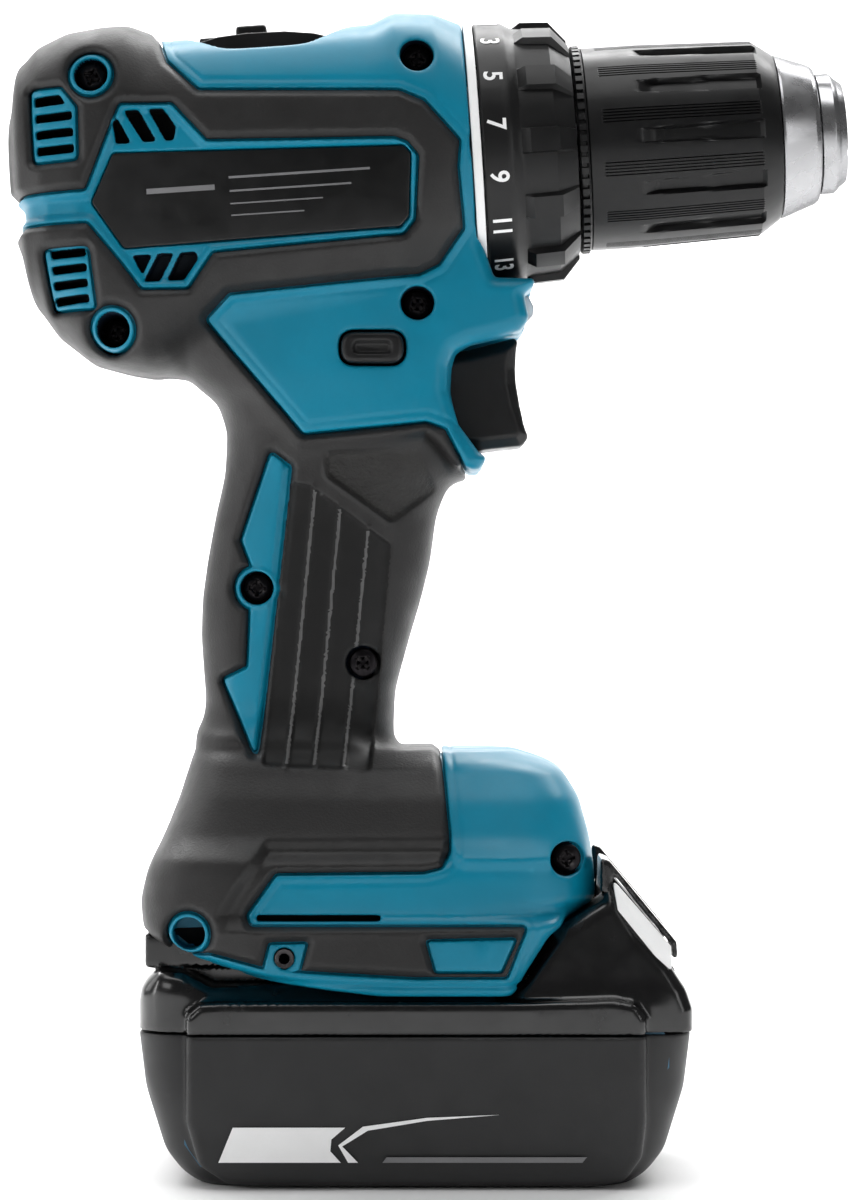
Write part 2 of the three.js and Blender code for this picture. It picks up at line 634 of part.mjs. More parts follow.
function chuckBody() {
  const body = turned([
    [34, 6.3], [34, 18.4], [52.4, 18.4], [52.4, 12.6], [60.6, 12.6], [60.6, 18], [73, 16.6], [75.4, 14],
    [82.6, 12.4], [86.6, 12.4], [NOSE_TIP, 10.4], [NOSE_TIP, 7.6], [87.4, 6.8], [50.6, 6.8], [50.6, 6.3],
  ]);
  return cut(body, THIRDS.map((angle) => leaningRod(JAW.radius + CLEARANCE, 49, 12, angle)));
}

// One jaw at its open place, with its two gripping faces at 120 degrees.
function chuckJaw(angle) {
  const wedge = crossSlab(outline([[0, 0], [-40, -69], [-80, 0], [-40, 69]]), 40, 100);
  const closed = leaningRod(JAW.radius, JAW.length, 6, 0)
    .intersect(placed(wedge, 0, 0, 0.3))
    .intersect(rod(40, JAW.tip + 0.4, 30, 24));
  const travel = JAW.opening / Math.sin(JAW.angle);
  const open = closed.translate([-travel * Math.cos(JAW.angle), 0, JAW.opening]);
  return open.rotate([THREE.MathUtils.radToDeg(angle), 0, 0]);
}

const jawNut = () => tube(52.8, 60.2, 18.2, 13.9);

function chuckSleeve() {
  const { back, front, radius } = SLEEVE;
  const grooves = Array.from({ length: 10 }, (_, i) =>
    box(48, front - 4, -2.2, 2.2, radius - 1.2, radius + 3).rotate([36 * i, 0, 0]),
  );
  const shell = turned([
    [back, radius], [back, 18.8], [62, 18.8], [front, 17], [front, 17.6], [front - 3.6, 20.4],
  ], 30);
  return cut(shell, grooves);
}

const sleeveNose = () =>
  turned([[75.2, 15], [82.4, 13.2], [82.9, 13.4], [82.9, 14.4], [81.8, 14.9], [75.2, 17.3]], 28);

const chuckBackRing = () => tube(31.6, 33.7, 22, 6.4, 28);

// ---------------------------------------------------------------- controls

function speedSelector() {
  const plate = box(-46, -24, -10, 10, 26.5, 27.9);
  const knob = box(-38.4, -32, -7.5, 7.5, 27.5, 30);
  return plate.add(knob);
}

function directionLever() {
  const pads = BOTH.map((side) =>
    placed(chamferedSlab(roundRect(-17.9, 168.8, -4.7, 175.5, 3.2), -2.4, 2.4, 0.8, 1), 0, side * 21.9, 0),
  );
  return join([...pads, box(-15, -8, -20, 20, 170.4, 173.8)]);
}

const TRIGGER = [
  [0.5, 152.8], [10.8, 151.2], [20.6, 153.2], [21.8, 155.6], [19.7, 161.4], [18.9, 167.2], [19.4, 174.6],
  [8.6, 172.4], [0.5, 171.2],
];
const trigger = () =>
  chamferedSlab(outline(TRIGGER), -TRIGGER_HALF, TRIGGER_HALF, 0.8, 1).add(box(-8, 1, -3, 3, 158, 166));

function switchUnit() {
  const block = box(-34, -9.5, -10, 10, 151, 167.6);
  return block.add(box(-30, -14, -9, 9, 146, 152)).subtract(box(-20, -9, -3.4, 3.4, 157.6, 166.4));
}

const lampLens = () => chamferedSlab(roundRect(16.2, 178.2, 20.8, 183.4, 1.2), -4.8, 4.8, 0.5, 1);

const controller = () => box(-36, 6, -17, 17, 60, 68.4).add(box(-30, 0, -13, 13, 58, 61));

function terminalBlock() {
  const blades = BOTH.map((side) => box(-32, -22, side * 14 - 0.5, side * 14 + 0.5, 45.6, 54));
  return join([box(-36, -16, -18, 18, 52.6, 57.4), ...blades]);
}

// ---------------------------------------------------------------- battery

const BATTERY_PLAN = roundRect(BATTERY.rear, -BATTERY_HALF, BATTERY.front, BATTERY_HALF, 9, 4);

// The case narrows towards its foot: [z, drawn in at the ends, drawn in at the sides].
const CASE_STATIONS = [[0, 12.5, 3.2], [2, 9.2, 1.3], [7, 5.4, 0.4], [20, 1.4, 0], [BATTERY.seam, 0, 0]];

function batteryCaseBody(inset) {
  const rings = CASE_STATIONS.map(([z, ends, sides]) => {
    const [x0, x1] = [BATTERY.rear + ends + inset, BATTERY.front - ends - inset];
    const half = BATTERY_HALF - sides - inset;
    const plan = roundRect(x0, -half, x1, half, 9 - 2 * inset, 3);
    return plan.getPoints().map((p) => new THREE.Vector3(p.x, p.y, z + inset));
  });
  return lofted(rings);
}

const batteryCase = () => batteryCaseBody(0).subtract(batteryCaseBody(2.2));

// Side view of the block that rises in front of the foot, with its sloping face.
const FRONT_BLOCK = [[26.5, 37], [BATTERY.front, 37], [BATTERY.front, 38], [50.6, 48.8], [37.6, 64.6], [35.9, 66], [35.9, 52], [26.5, 51]];

function batteryCover() {
  const { rear, seam, ledge, deck, deckHalf, neckHalf, rail } = BATTERY;
  const slab = planSlab(BATTERY_PLAN, seam + CLEARANCE, ledge);
  const neck = box(rear + 3.5, 40, -neckHalf, neckHalf, ledge - 1, rail + 0.5);
  const top = box(rear + 1.2, 40, -deckHalf, deckHalf, rail, deck);
  const block = sideSlab(outline(FRONT_BLOCK), -33, 33);
  const hollow = planSlab(roundRect(rear + 2.6, -34.9, BATTERY.front - 2.6, 34.9, 4, 2), 20, ledge - 1.6);
  const inside = box(-50, 22, -18, 18, 30, deck - 2);
  const blades = BOTH.map((side) => box(-70, -20, side * 14 - 1.4, side * 14 + 1.4, 44.6, 60));
  const button = box(30, 60, -13.4, 13.4, 40, 70);
  const hook = box(8, 40, -7.4, 7.4, 43.6, 60);
  return cut(join([slab, neck, top, block]), [hollow, inside, ...blades, button, hook]);
}

// The release button in the sloping face, with the latch that its arm carries.
function batteryButton() {
  const face = sideSlab(outline([[36.6, 47.4], [49.2, 47.4], [49.4, 49.6], [37.6, 63.6], [36.6, 62]]), -13, 13);
  const arm = box(9, 37, -7, 7, 47.8, 51);
  const latch = box(10, 16, -6.6, 6.6, 50.8, 53.6);
  return join([face, arm, latch]);
}

const buttonSpring = () => {
  const upright = new THREE.Matrix4().makeRotationY(-Math.PI / 2).setPosition(43, 0, 0).toArray();
  return coilSpring(40.4, 47, 3, 0.5, 3, 4).transform(upright);
};

// Ten cells in two nested rows, tied by the strips welded across their ends.
function cellPack() {
  const pitch = 2 * CELL_RADIUS + 0.2;
  const rise = pitch * Math.sin(Math.PI / 3);
  const low = 11.6;
  const cells = [];
  for (let row = 0; row < 2; row++) {
    for (let i = 0; i < 5; i++) {
      const x = -41 + pitch * (i + row / 2);
      cells.push(sideSlab(circle(x, low + rise * row, CELL_RADIUS, 10), -32.2, 32.2));
    }
  }
  const strips = BOTH.map((side) => box(-40, 39, side * 32.5 - 0.6, side * 32.5 + 0.6, low, low + rise));
  return join([...cells, ...strips]);
}

function batteryBoard() {
  const clips = BOTH.map((side) => box(-31, -24, side * 14 - 2.6, side * 14 + 2.6, 39, 43.8));
  return join([box(-44, 10, -17.4, 17.4, 37.4, 39), ...clips]);
}

// ---------------------------------------------------------------- assembly

const root = new THREE.Group();
const axisFrame = new THREE.Group(); // everything that turns about the drill's axis
axisFrame.position.z = AXIS_HEIGHT;
axisFrame.rotation.y = -AXIS_TILT;
root.add(axisFrame);

function add(name, solid, finish, parent = root) {
  const mesh = new THREE.Mesh(geometryOf(solid), new THREE.MeshStandardMaterial(finish));
  mesh.name = name;
  parent.add(mesh);
  return mesh;
}

const shells = housing();
const skins = overmould();
BOTH.forEach((side) => {
  const hand = side > 0 ? "left" : "right";
  add(`housing_${hand}`, mainBody(sideOf(shells, side)), TEAL);
  add(`overmould_${hand}`, mainBody(sideOf(skins, side)), RUBBERY);
  add(`rating_plate_${hand}`, ratingPlate(side), BLACK);
  add(`hook_insert_${hand}`, placed(hookInsert(), HOOK_HOLE[0], side * 36.4, HOOK_HOLE[1]), ALLOY);
});
SCREWS.forEach(([x, z, half], i) => {
  const screw = add(`housing_screw_${i + 1}`, housingScrew(), DARK_STEEL);
  screw.position.set(x, -half + 9.7, z);
});

add("rear_bearing", bearing(-85.6, -81.3, 8, MOTOR.shaft + CLEARANCE), STEEL, axisFrame);
add("cooling_fan", coolingFan(), BLACK, axisFrame);
add("stator", stator(), COPPER, axisFrame);
add("rotor_core", rotorCore(), DARK_STEEL, axisFrame);
add("rotor_shaft", rotorShaft(), STEEL, axisFrame);
add("sensor_board", sensorBoard(), BOARD, axisFrame);
add("front_bearing", bearing(-35, -31.9, 8, MOTOR.shaft + CLEARANCE), STEEL, axisFrame);
add("motor_bracket", motorBracket(), ALLOY, axisFrame);
add("gear_case", gearCase(), ALLOY, axisFrame);
add("ring_gear_1", ringGear(STAGE_1.back, STAGE_1.front), STEEL, axisFrame);
add("ring_gear_2", ringGear(STAGE_2.back, STAGE_2.front + 0.4), STEEL, axisFrame);
add("carrier_1", carrier1(), STEEL, axisFrame);
add("spindle", spindle(), STEEL, axisFrame);
add("spindle_bearing", bearing(14, 22, 11, 6.2), STEEL, axisFrame);
[STAGE_1, STAGE_2].forEach(({ back, front }, stage) => {
  THIRDS.forEach((angle, i) => {
    const length = front - back - 0.4;
    const planet = add(`planet_${stage + 1}_${"abc"[i]}`, planetGear(length), STEEL, axisFrame);
    planet.position.set((back + front) / 2, ORBIT * Math.sin(angle), -ORBIT * Math.cos(angle));
    planet.rotation.x = angle * (1 - TEETH.ring / TEETH.planet);
  });
});

add("clutch_nut", tube(23.2, 26.4, 22, NECK.radius + CLEARANCE, 20), STEEL, axisFrame);
add("clutch_spring", coilSpring(NECK.seat + 0.3, 22.8, 18.4, 1.2, 4, 4), STEEL, axisFrame);
add("torque_ring", torqueRing(), BLACK, axisFrame);
add("pointer_ring", pointerRing(), WHITE, axisFrame);

add("chuck_body", chuckBody(), STEEL, axisFrame);
add("chuck_back_ring", chuckBackRing(), BLACK, axisFrame);
add("jaw_nut", jawNut(), DARK_STEEL, axisFrame);
add("chuck_sleeve", chuckSleeve(), BLACK, axisFrame);
add("sleeve_nose", sleeveNose(), STEEL, axisFrame);
THIRDS.forEach((angle, i) => add(`jaw_${"abc"[i]}`, chuckJaw(angle), DARK_STEEL, axisFrame));

add("speed_selector", speedSelector(), BLACK, axisFrame);
add("direction_lever", directionLever(), BLACK);
add("trigger", trigger(), BLACK);
add("switch_unit", switchUnit(), BLACK);
add("lamp_lens", lampLens(), LENS);
add("controller", controller(), ALLOY);
add("terminal_block", terminalBlock(), BLACK);

add("battery_case", batteryCase(), BLACK);
add("battery_cover", batteryCover(), BLACK);
add("battery_button", batteryButton(), BLACK);
add("button_spring", buttonSpring(), STEEL);
add("cell_pack", cellPack(), CELL_WRAP);
add("battery_board", batteryBoard(), BOARD);

export default root;
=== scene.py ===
"""The looks of a cordless drill driver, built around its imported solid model. Lengths in this file are in mm."""

import json
import math

import bmesh
import bpy
import numpy as np
from mathutils import Matrix, Vector

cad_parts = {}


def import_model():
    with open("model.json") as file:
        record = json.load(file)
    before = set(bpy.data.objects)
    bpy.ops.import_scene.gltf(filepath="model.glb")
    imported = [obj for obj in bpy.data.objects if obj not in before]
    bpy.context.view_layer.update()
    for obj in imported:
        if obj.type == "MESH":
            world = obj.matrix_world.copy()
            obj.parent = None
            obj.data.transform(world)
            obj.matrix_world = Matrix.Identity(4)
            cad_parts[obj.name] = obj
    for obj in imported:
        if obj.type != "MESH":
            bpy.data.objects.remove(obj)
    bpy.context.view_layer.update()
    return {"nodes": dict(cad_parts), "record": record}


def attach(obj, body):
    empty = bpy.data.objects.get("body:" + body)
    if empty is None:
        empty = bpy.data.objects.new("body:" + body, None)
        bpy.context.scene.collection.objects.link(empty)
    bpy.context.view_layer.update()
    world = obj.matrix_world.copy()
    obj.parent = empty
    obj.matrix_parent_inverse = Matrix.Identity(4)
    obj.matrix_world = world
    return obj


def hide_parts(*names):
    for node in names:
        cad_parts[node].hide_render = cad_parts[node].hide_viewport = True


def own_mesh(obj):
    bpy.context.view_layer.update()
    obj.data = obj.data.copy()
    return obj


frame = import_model()
NODES = frame["nodes"]
MM = 0.001
SIDES = ((-1, "right"), (1, "left"))

# ---------------------------------------------------------------- the barrel's frame

TILT = math.radians(3.8)
CT, ST = math.cos(TILT), math.sin(TILT)
AXIS_Z = 213.5
BARREL_FRAME = Matrix.Translation((0, 0, AXIS_Z)) @ Matrix.Rotation(-TILT, 4, "Y")


def world(points):
    """Side-view points (x', z') of the barrel's frame as points (X, Z) of the object's frame."""
    return [(x * CT - z * ST, x * ST + z * CT + AXIS_Z) for x, z in points]


def from_barrel(v):
    """Vertices in the barrel's frame moved to the object's frame."""
    x, y, z = v[:, 0], v[:, 1], v[:, 2]
    return np.stack([x * CT - z * ST, y, x * ST + z * CT + AXIS_Z], 1)


# ---------------------------------------------------------------- outlines and stations

# Barrel: x', top, bottom, half width, power of the section.
BARREL = [
    (-86.6, 16, -16, 18.5, 2.5), (-85.4, 20.2, -20, 22, 2.6), (-84.2, 23.2, -24.6, 24.6, 2.8),
    (-79.4, 27.4, -32.4, 28.8, 3.1), (-73.2, 29.4, -38, 31, 3.7), (-66, 30.1, -40.4, 31.4, 3.9),
    (-61, 30.3, -41.6, 31.6, 3.6), (-56.6, 28.6, -41.4, 31.6, 3.2), (-53.4, 27.6, -39, 31.6, 3.2),
    (-46, 27.8, -36, 31.6, 3.2), (-10, 28.3, -31.4, 31.5, 3), (-5.6, 30.6, -30.2, 31, 2.8),
    (3, 30.3, -29.3, 29.6, 2.4), (9, 27.9, -28.2, 28.1, 2),
]
# Grip: z, rear, front, half width.
GRIP = [
    (66, -47, -4, 19.5), (86, -45.6, -6.2, 18.5), (92, -45.4, -7.6, 17.9), (101, -46.6, -7.2, 17.5),
    (112, -47.4, -4.2, 17.5), (120, -47.2, -1.8, 17.5), (128, -46.1, 0.2, 17.5), (138, -44.3, 1.5, 17.7),
    (144, -42.9, 3.8, 18.3), (147, -42.3, 6.8, 18.6), (156, -41.9, 4.6, 20), (162, -43.4, 4.2, 21),
    (167, -50, 5, 22), (190, -58, 6, 24),
]
WEDGE = [
    (-46, 180), (-44, 196), (10, 198), (14, 187), (22.2, 186.8), (22.3, 185.4), (20.1, 183.4), (21.1, 178.8),
    (20.6, 177.6), (19.3, 176), (15.4, 174.7), (9, 173.2), (5.6, 171.5), (4.4, 168.5), (4.3, 163.5),
    (6.6, 156.3), (10.7, 150.8), (12.4, 149.6), (11.3, 147.3), (7.7, 146.6), (0, 155), (-26, 154),
]
# Base: z, rear, front, half width.
BASE = [
    (39.6, -14, 18, 38), (41.6, -33, 19, 39), (44.4, -43, 20.6, 39.4), (48, -52, 23, 39.4),
    (52.2, -58.3, 25.7, 39.4), (58, -58.8, 35.2, 39.4), (64, -57.4, 34.9, 39.2), (66.6, -56.2, 34.6, 38.6),
    (68.4, -55, 34.3, 36.2), (71, -53.6, 34, 33.6), (79, -49.2, 31.8, 29.6), (85, -46.5, 28, 24.6),
    (88.3, -45, 20, 19.5),
]
# Side view of the teal frame round the plate, which is open to the rear.
LABEL_FRAME = world([
    (-96, -10.6), (-70.4, -11.4), (-64, -20.1), (-60.3, -25.7), (-50.9, -26.1), (-45.3, -19.1), (-6, -17.8),
    (-3.6, -15.1), (-2.1, -2.2), (-4.2, 0.6), (-6.6, 1.6), (-45, 3.5), (-51.7, 11.7), (-62.3, 12.2), (-70.3, -5),
    (-96, -4.8),
])
# Side view of the black overmould, whose teal windows are cut from it below.
OVERMOULD = (
    world([(-54.4, 44), (-54.4, 28), (-52.2, 21), (-46, 14.4), (-4.9, 11.6), (0.1, 9.2), (7, 0.5), (6.2, -4.7),
           (6.6, -17.1), (1, -24.3), (-3.3, -26.1)])
    + [(-40.6, 183), (-45.7, 178), (-25.6, 154.5), (-0.1, 157), (4, 155.6), (8, 147.6), (14, 144), (14, 92),
       (2.2, 92), (3.4, 86), (4.8, 72.2), (4.8, 68.6), (3.2, 65.4), (-0.5, 64.5), (-30.6, 64.2), (-36.5, 55.9),
       (-35.7, 54), (20.5, 54), (16.3, 43.3), (-2.3, 43.3), (-32, 45), (-44, 48), (-52, 47), (-70, 47), (-70, 150)]
    + world([(-96, -60)]) + LABEL_FRAME + world([(-96, 44)])
)
PLATE = world([(-69.4, -7.4), (-64.4, 2.3), (-4.9, 0.0), (-3.5, -1.6), (-4.7, -14.4), (-6.6, -16.4), (-63.4, -17.3)])
REAR_WINDOWS = [
    world([(-80.8, 1.4), (-71.6, 1.4), (-71.2, 12.2), (-74.2, 16.6), (-80.8, 16.8)]),
    world([(-79, -28.6), (-70, -29.2), (-70.7, -16.6), (-80, -16.4)]),
]
GRIP_STRIP = [(-32.5, 150.8), (-28.4, 147.7), (-35.3, 87), (-42.7, 103.4), (-37.4, 106), (-36.6, 127), (-38.8, 132.5)]
FOOT_WINDOWS = [
    [(-33.3, 44.9), (-25.8, 44.9), (-24.2, 50.6), (-31.9, 50.4)],
    [(1.7, 44.6), (15.1, 44.6), (18.1, 51.4), (-0.1, 51)],
]
RIBBED_PANEL = [(-28.4, 145), (-24, 144.1), (-17.8, 139.6), (-7.2, 131.6), (-11.5, 84.6), (-34.2, 85.7), (-33.6, 92)]
RIDGES = [[(-23.2, 144), (-29, 85.6)], [(-18, 139.4), (-23.3, 85.6)], [(-12.2, 135.2), (-17.2, 85.6)]]
GRAIN_PANEL = [(-21.7, 151.2), (-21.3, 145.4), (-7.4, 135.4), (2.6, 142.9), (-1.6, 152.2)]
CHANNEL_PANEL = [(-33.2, 71.3), (4.6, 71.5), (7.2, 67.6), (60, 67.4), (60, 53.4), (-40.5, 53.2), (-43.4, 55.8)]

# Housing screws: X, Z, half width there, and whether a teal ring lies round the well.
SCREWS = [(*p, h, ring) for (p, h, ring) in [
    (world([(-67.9, 18.8)])[0], 27, True), (world([(-67, -33.4)])[0], 15, True),
    (world([(-0.9, 18.8)])[0], 21, False), (world([(-4.1, -31.8)])[0], 19, False),
    ((-35.5, 122.5), 14.6, True), ((-13.4, 106.9), 16.5, False), ((28.6, 67), 30, False)]]
WELL_RADIUS = 3.5
DIMPLE_RADIUS = 2.4  # the shallow mark on the left side, opposite each screw
FOOT_WELL, FOOT_WELL_RADIUS = (-48.4, 52.2), 3.4
HOOK_HOLE, HOOK_HOLE_RADIUS = (-28.9, 47.5), 2.1
LEVER_PIVOT = (-11.5, 172.1)
TRIGGER_OPENING = (-9, 32, -11.6, 11.6, 150.2, 176.4, 0.6)  # x, y and z from and to, corner radius
SHARP_OPENINGS = (
    (14.8, 40, -5.2, 5.2, 177.6, 185.4, 0.3),  # the lamp
    (-70, 60, -26.3, 26.3, 43.9, 51.8, 0.4),  # the battery's deck
    (-70, 60, -21.8, 21.8, 30, 44.2, 0.0),  # the battery's neck
    (14, 60, -34, 34, 30, 51.8, 0.5),  # the battery's front block
)
SHELL_FRONT = 9.0  # x' of the shell's front face
GEAR_CASE_RADIUS = 28.7
BEVEL = 0.7071  # scales the sum of two distances at right angles

# Air slots in the barrel's frame, as outlines.
SLOTS = (
    [[(-80.0, z), (-72.2, z), (-72.2, z + 1.8), (-80.0, z + 1.8)] for z in (2.9, 6.3, 9.7)]
    + [[(-80.0, 13.1), (-73.4, 13.1), (-74.6, 15.2), (-80.0, 15.2)]]
    + [[(-78.4, z), (-71.2, z), (-71.3, z + 1.7), (-78.7, z + 1.7)] for z in (-27.7, -24.6, -21.5, -18.4)]
    + [[(-63.6, 4.2), (-60.6, 4.2), (-63.0, 9.4), (-64.0, 8.6)],
       [(-58.0, 4.2), (-55.4, 4.2), (-58.6, 10.9), (-61.6, 10.9)],
       [(-53.4, 4.2), (-51.8, 4.2), (-51.2, 6.9), (-53.6, 10.9), (-56.6, 10.9)]]
    + [[(-61.7, -18.9), (-57.8, -18.9), (-60.0, -23.0)],
       [(-56.5, -18.9), (-53.3, -18.9), (-56.6, -24.4), (-59.9, -24.4)],
       [(-51.9, -18.9), (-48.9, -18.9), (-48.4, -20.4), (-51.6, -24.4), (-55.1, -24.4)]]
)

# ---------------------------------------------------------------- solids as fields on a grid


class Grid:
    """A box of evenly spaced points. x, y and z broadcast against each other."""

    def __init__(self, low, high, step):
        self.low, self.step = np.array(low, np.float32), np.float32(step)
        a, b, c = (np.arange(lo, hi + step, step, dtype=np.float32) for lo, hi in zip(low, high))
        self.shape = (len(a), len(b), len(c))
        self.x, self.y, self.z = a[:, None, None], b[None, :, None], c[None, None, :]


def fillet(points, radius, steps=5):
    """A closed outline with its corners rounded."""
    if radius <= 0:
        return points
    out = []
    for i in range(len(points)):
        before, p, after = (np.array(points[j % len(points)], float) for j in (i - 1, i, i + 1))
        a, b = before - p, after - p
        la, lb = np.hypot(*a), np.hypot(*b)
        a, b = a / la, b / lb
        half = math.acos(float(np.clip(a @ b, -1, 1))) / 2
        if half > 1.5:
            out.append(tuple(p))
            continue
        cut = min(radius / math.tan(half), 0.45 * la, 0.45 * lb)
        start, end = p + a * cut, p + b * cut
        for k in range(steps + 1):
            t = k / steps
            out.append(tuple((1 - t) ** 2 * start + 2 * t * (1 - t) * p + t * t * end))
    return out


def polygon(points, x, z, radius=0.0):
    """Signed distance to a closed outline, negative inside it."""
    points = fillet(points, radius)
    x, z = np.broadcast_arrays(x, z)
    best = np.full(x.shape, 1e9, np.float32)
    inside = np.zeros(x.shape, bool)
    for (ax, az), (bx, bz) in zip(points, points[1:] + points[:1]):
        ex, ez = bx - ax, bz - az
        t = np.clip(((x - ax) * ex + (z - az) * ez) / (ex * ex + ez * ez + 1e-9), 0, 1)
        best = np.minimum(best, (x - ax - t * ex) ** 2 + (z - az - t * ez) ** 2)
        if az != bz:
            inside ^= ((az > z) != (bz > z)) & (x < ex * (z - az) / ez + ax)
    best = np.sqrt(best)
    return np.where(inside, -best, best).astype(np.float32)


def segment(a, b, x, z):
    """Distance to a straight line between two points."""
    ex, ez = b[0] - a[0], b[1] - a[1]
    t = np.clip(((x - a[0]) * ex + (z - a[1]) * ez) / (ex * ex + ez * ez), 0, 1)
    return np.hypot(x - a[0] - t * ex, z - a[1] - t * ez)


def smin(a, b, k):
    """The union of two solids, blended over a width k."""
    h = np.maximum(k - np.abs(a - b), 0) / k
    return np.minimum(a, b) - h * h * (k / 4)


def smax(a, b, k):
    """What two solids share, blended over a width k."""
    h = np.maximum(k - np.abs(a - b), 0) / k
    return np.maximum(a, b) + h * h * (k / 4)


def meet(a, b, radius):
    """Where two solids meet at right angles, with a rounded edge between them."""
    a, b = a + radius, b + radius
    return np.minimum(np.maximum(a, b), 0) + np.hypot(np.maximum(a, 0), np.maximum(b, 0)) - radius


def block(g, x0, x1, y0, y1, z0, z1, radius=0.0):
    """A box with rounded edges."""
    sides = ((g.x, x0, x1), (g.y, y0, y1), (g.z, z0, z1))
    q = [np.abs(v - (a + b) / 2) - (b - a) / 2 + radius for v, a, b in sides]
    outside = np.sqrt(sum(np.maximum(v, 0) ** 2 for v in q))
    return outside + np.minimum(np.maximum(np.maximum(q[0], q[1]), q[2]), 0) - radius


def table(rows, at, spread):
    """The columns of a table of stations, evened out a little, at the given places."""
    rows = np.array(rows, float)
    fine = np.arange(rows[0, 0] - 8, rows[-1, 0] + 8, 0.2)
    kernel = np.exp(-0.5 * (np.arange(-3 * spread, 3 * spread + 0.1, 0.2) / spread) ** 2)
    kernel /= kernel.sum()
    pad = len(kernel) // 2
    out = []
    for i in range(1, rows.shape[1]):
        raw = np.interp(fine, rows[:, 0], rows[:, i])
        smooth = np.convolve(np.pad(raw, pad, mode="edge"), kernel, mode="same")[pad: pad + len(fine)]
        out.append(np.interp(at, fine, smooth).astype(np.float32))
    return out


def ramp(d, a, b):
    """0 below a, 1 above b, and smooth between them."""
    t = np.clip((d - a) / (b - a), 0, 1)
    return t * t * (3 - 2 * t)


RAW_UNIT = np.float32(25)  # mm that one unit of a raw section field stands for, about
LEAST_SLOPE = 0.35  # keeps the middle of a solid, where the field is flat, from growing without limit


def as_distance(f, step):
    """A field whose zero level is a surface, rescaled so that its values near there are distances."""
    f = f * RAW_UNIT
    slope = np.zeros(f.shape, np.float32)
    for axis in range(3):
        slope += np.gradient(f, step, axis=axis) ** 2
    return f / np.maximum(np.sqrt(slope), LEAST_SLOPE)


# ---------------------------------------------------------------- from a field to a mesh


CORNERS = [(dx, dy, dz) for dx in (0, 1) for dy in (0, 1) for dz in (0, 1)]
NEWTON_STEPS = 3


def sample(field, g, p):
    """A field's value at points, linear between the grid's points."""
    q = (p - g.low) / g.step
    q = np.clip(q, 0, np.array(g.shape) - 1.001)
    i = q.astype(np.int32)
    t = (q - i).astype(np.float32)
    out = np.zeros(len(p), np.float32)
    flat = np.broadcast_to(field, g.shape).ravel()
    _, ny, nz = g.shape
    for dx, dy, dz in CORNERS:
        w = (t[:, 0] if dx else 1 - t[:, 0]) * (t[:, 1] if dy else 1 - t[:, 1]) * (t[:, 2] if dz else 1 - t[:, 2])
        out += w * flat[((i[:, 0] + dx) * ny + i[:, 1] + dy) * nz + i[:, 2] + dz]
    return out


def slope_at(field, g, p, reach=0.6):
    """The direction in which a field grows, at points."""
    e = float(g.step) * reach
    n = np.empty_like(p)
    for axis in range(3):
        d = np.zeros(3, np.float32)
        d[axis] = e
        n[:, axis] = (sample(field, g, p + d) - sample(field, g, p - d)) / (2 * e)
    return n


def surface(field, g):
    """The surface where a field is 0, as points and quads: one point in each cell that it crosses."""
    inside = field < 0
    counts = np.zeros(tuple(n - 1 for n in g.shape), np.int8)
    nx, ny, nz = counts.shape
    for dx, dy, dz in CORNERS:
        counts += inside[dx: nx + dx, dy: ny + dy, dz: nz + dz]
    cells = np.argwhere((counts > 0) & (counts < 8)).astype(np.int32)
    index = np.full(counts.shape, -1, np.int32)
    index[cells[:, 0], cells[:, 1], cells[:, 2]] = np.arange(len(cells))
    values = {c: field[cells[:, 0] + c[0], cells[:, 1] + c[1], cells[:, 2] + c[2]] for c in CORNERS}
    total, hits = np.zeros((len(cells), 3), np.float32), np.zeros(len(cells), np.float32)
    for a in CORNERS:
        for axis in range(3):
            if a[axis]:
                continue
            b = tuple(1 if k == axis else a[k] for k in range(3))
            va, vb = values[a], values[b]
            crossed = (va < 0) != (vb < 0)
            t = np.where(crossed, va / np.where(crossed, va - vb, 1), 0)
            point = np.tile(np.array(a, np.float32), (len(cells), 1))
            point[:, axis] += t
            total += point * crossed[:, None]
            hits += crossed
    points = (cells + total / hits[:, None]) * g.step + g.low
    for _ in range(NEWTON_STEPS):
        f, n = sample(field, g, points), slope_at(field, g, points)
        move = n * (f / np.maximum((n * n).sum(1), 0.05))[:, None]
        length = np.linalg.norm(move, axis=1)[:, None]
        points -= move * np.minimum(1, 0.35 * g.step / np.maximum(length, 1e-9))
    quads = []
    for axis, u, v in ((0, 1, 2), (1, 2, 0), (2, 0, 1)):
        low, high = [slice(None)] * 3, [slice(None)] * 3
        low[axis], high[axis] = slice(0, -1), slice(1, None)
        a, b = inside[tuple(low)], inside[tuple(high)]
        at = np.argwhere(a != b)
        at = at[(at[:, u] > 0) & (at[:, v] > 0) & (at[:, u] < g.shape[u] - 1) & (at[:, v] < g.shape[v] - 1)]
        ring = []
        for du, dv in ((-1, -1), (0, -1), (0, 0), (-1, 0)):
            c = at.copy()
            c[:, u] += du
            c[:, v] += dv
            ring.append(index[c[:, 0], c[:, 1], c[:, 2]])
        ring = np.stack(ring, 1)
        outward = a[at[:, 0], at[:, 1], at[:, 2]]
        ring[~outward] = ring[~outward][:, ::-1]
        quads.append(ring)
    return points.astype(np.float32), np.concatenate(quads)


def keep_faces(points, faces, wanted):
    """Only the wanted faces, and the points that they use."""
    faces = faces[wanted]
    used = np.unique(faces)
    lookup = np.full(len(points), -1, np.int64)
    lookup[used] = np.arange(len(used))
    return points[used], lookup[faces]


def smooth(me):
    me.polygons.foreach_set("use_smooth", np.ones(len(me.polygons), bool))


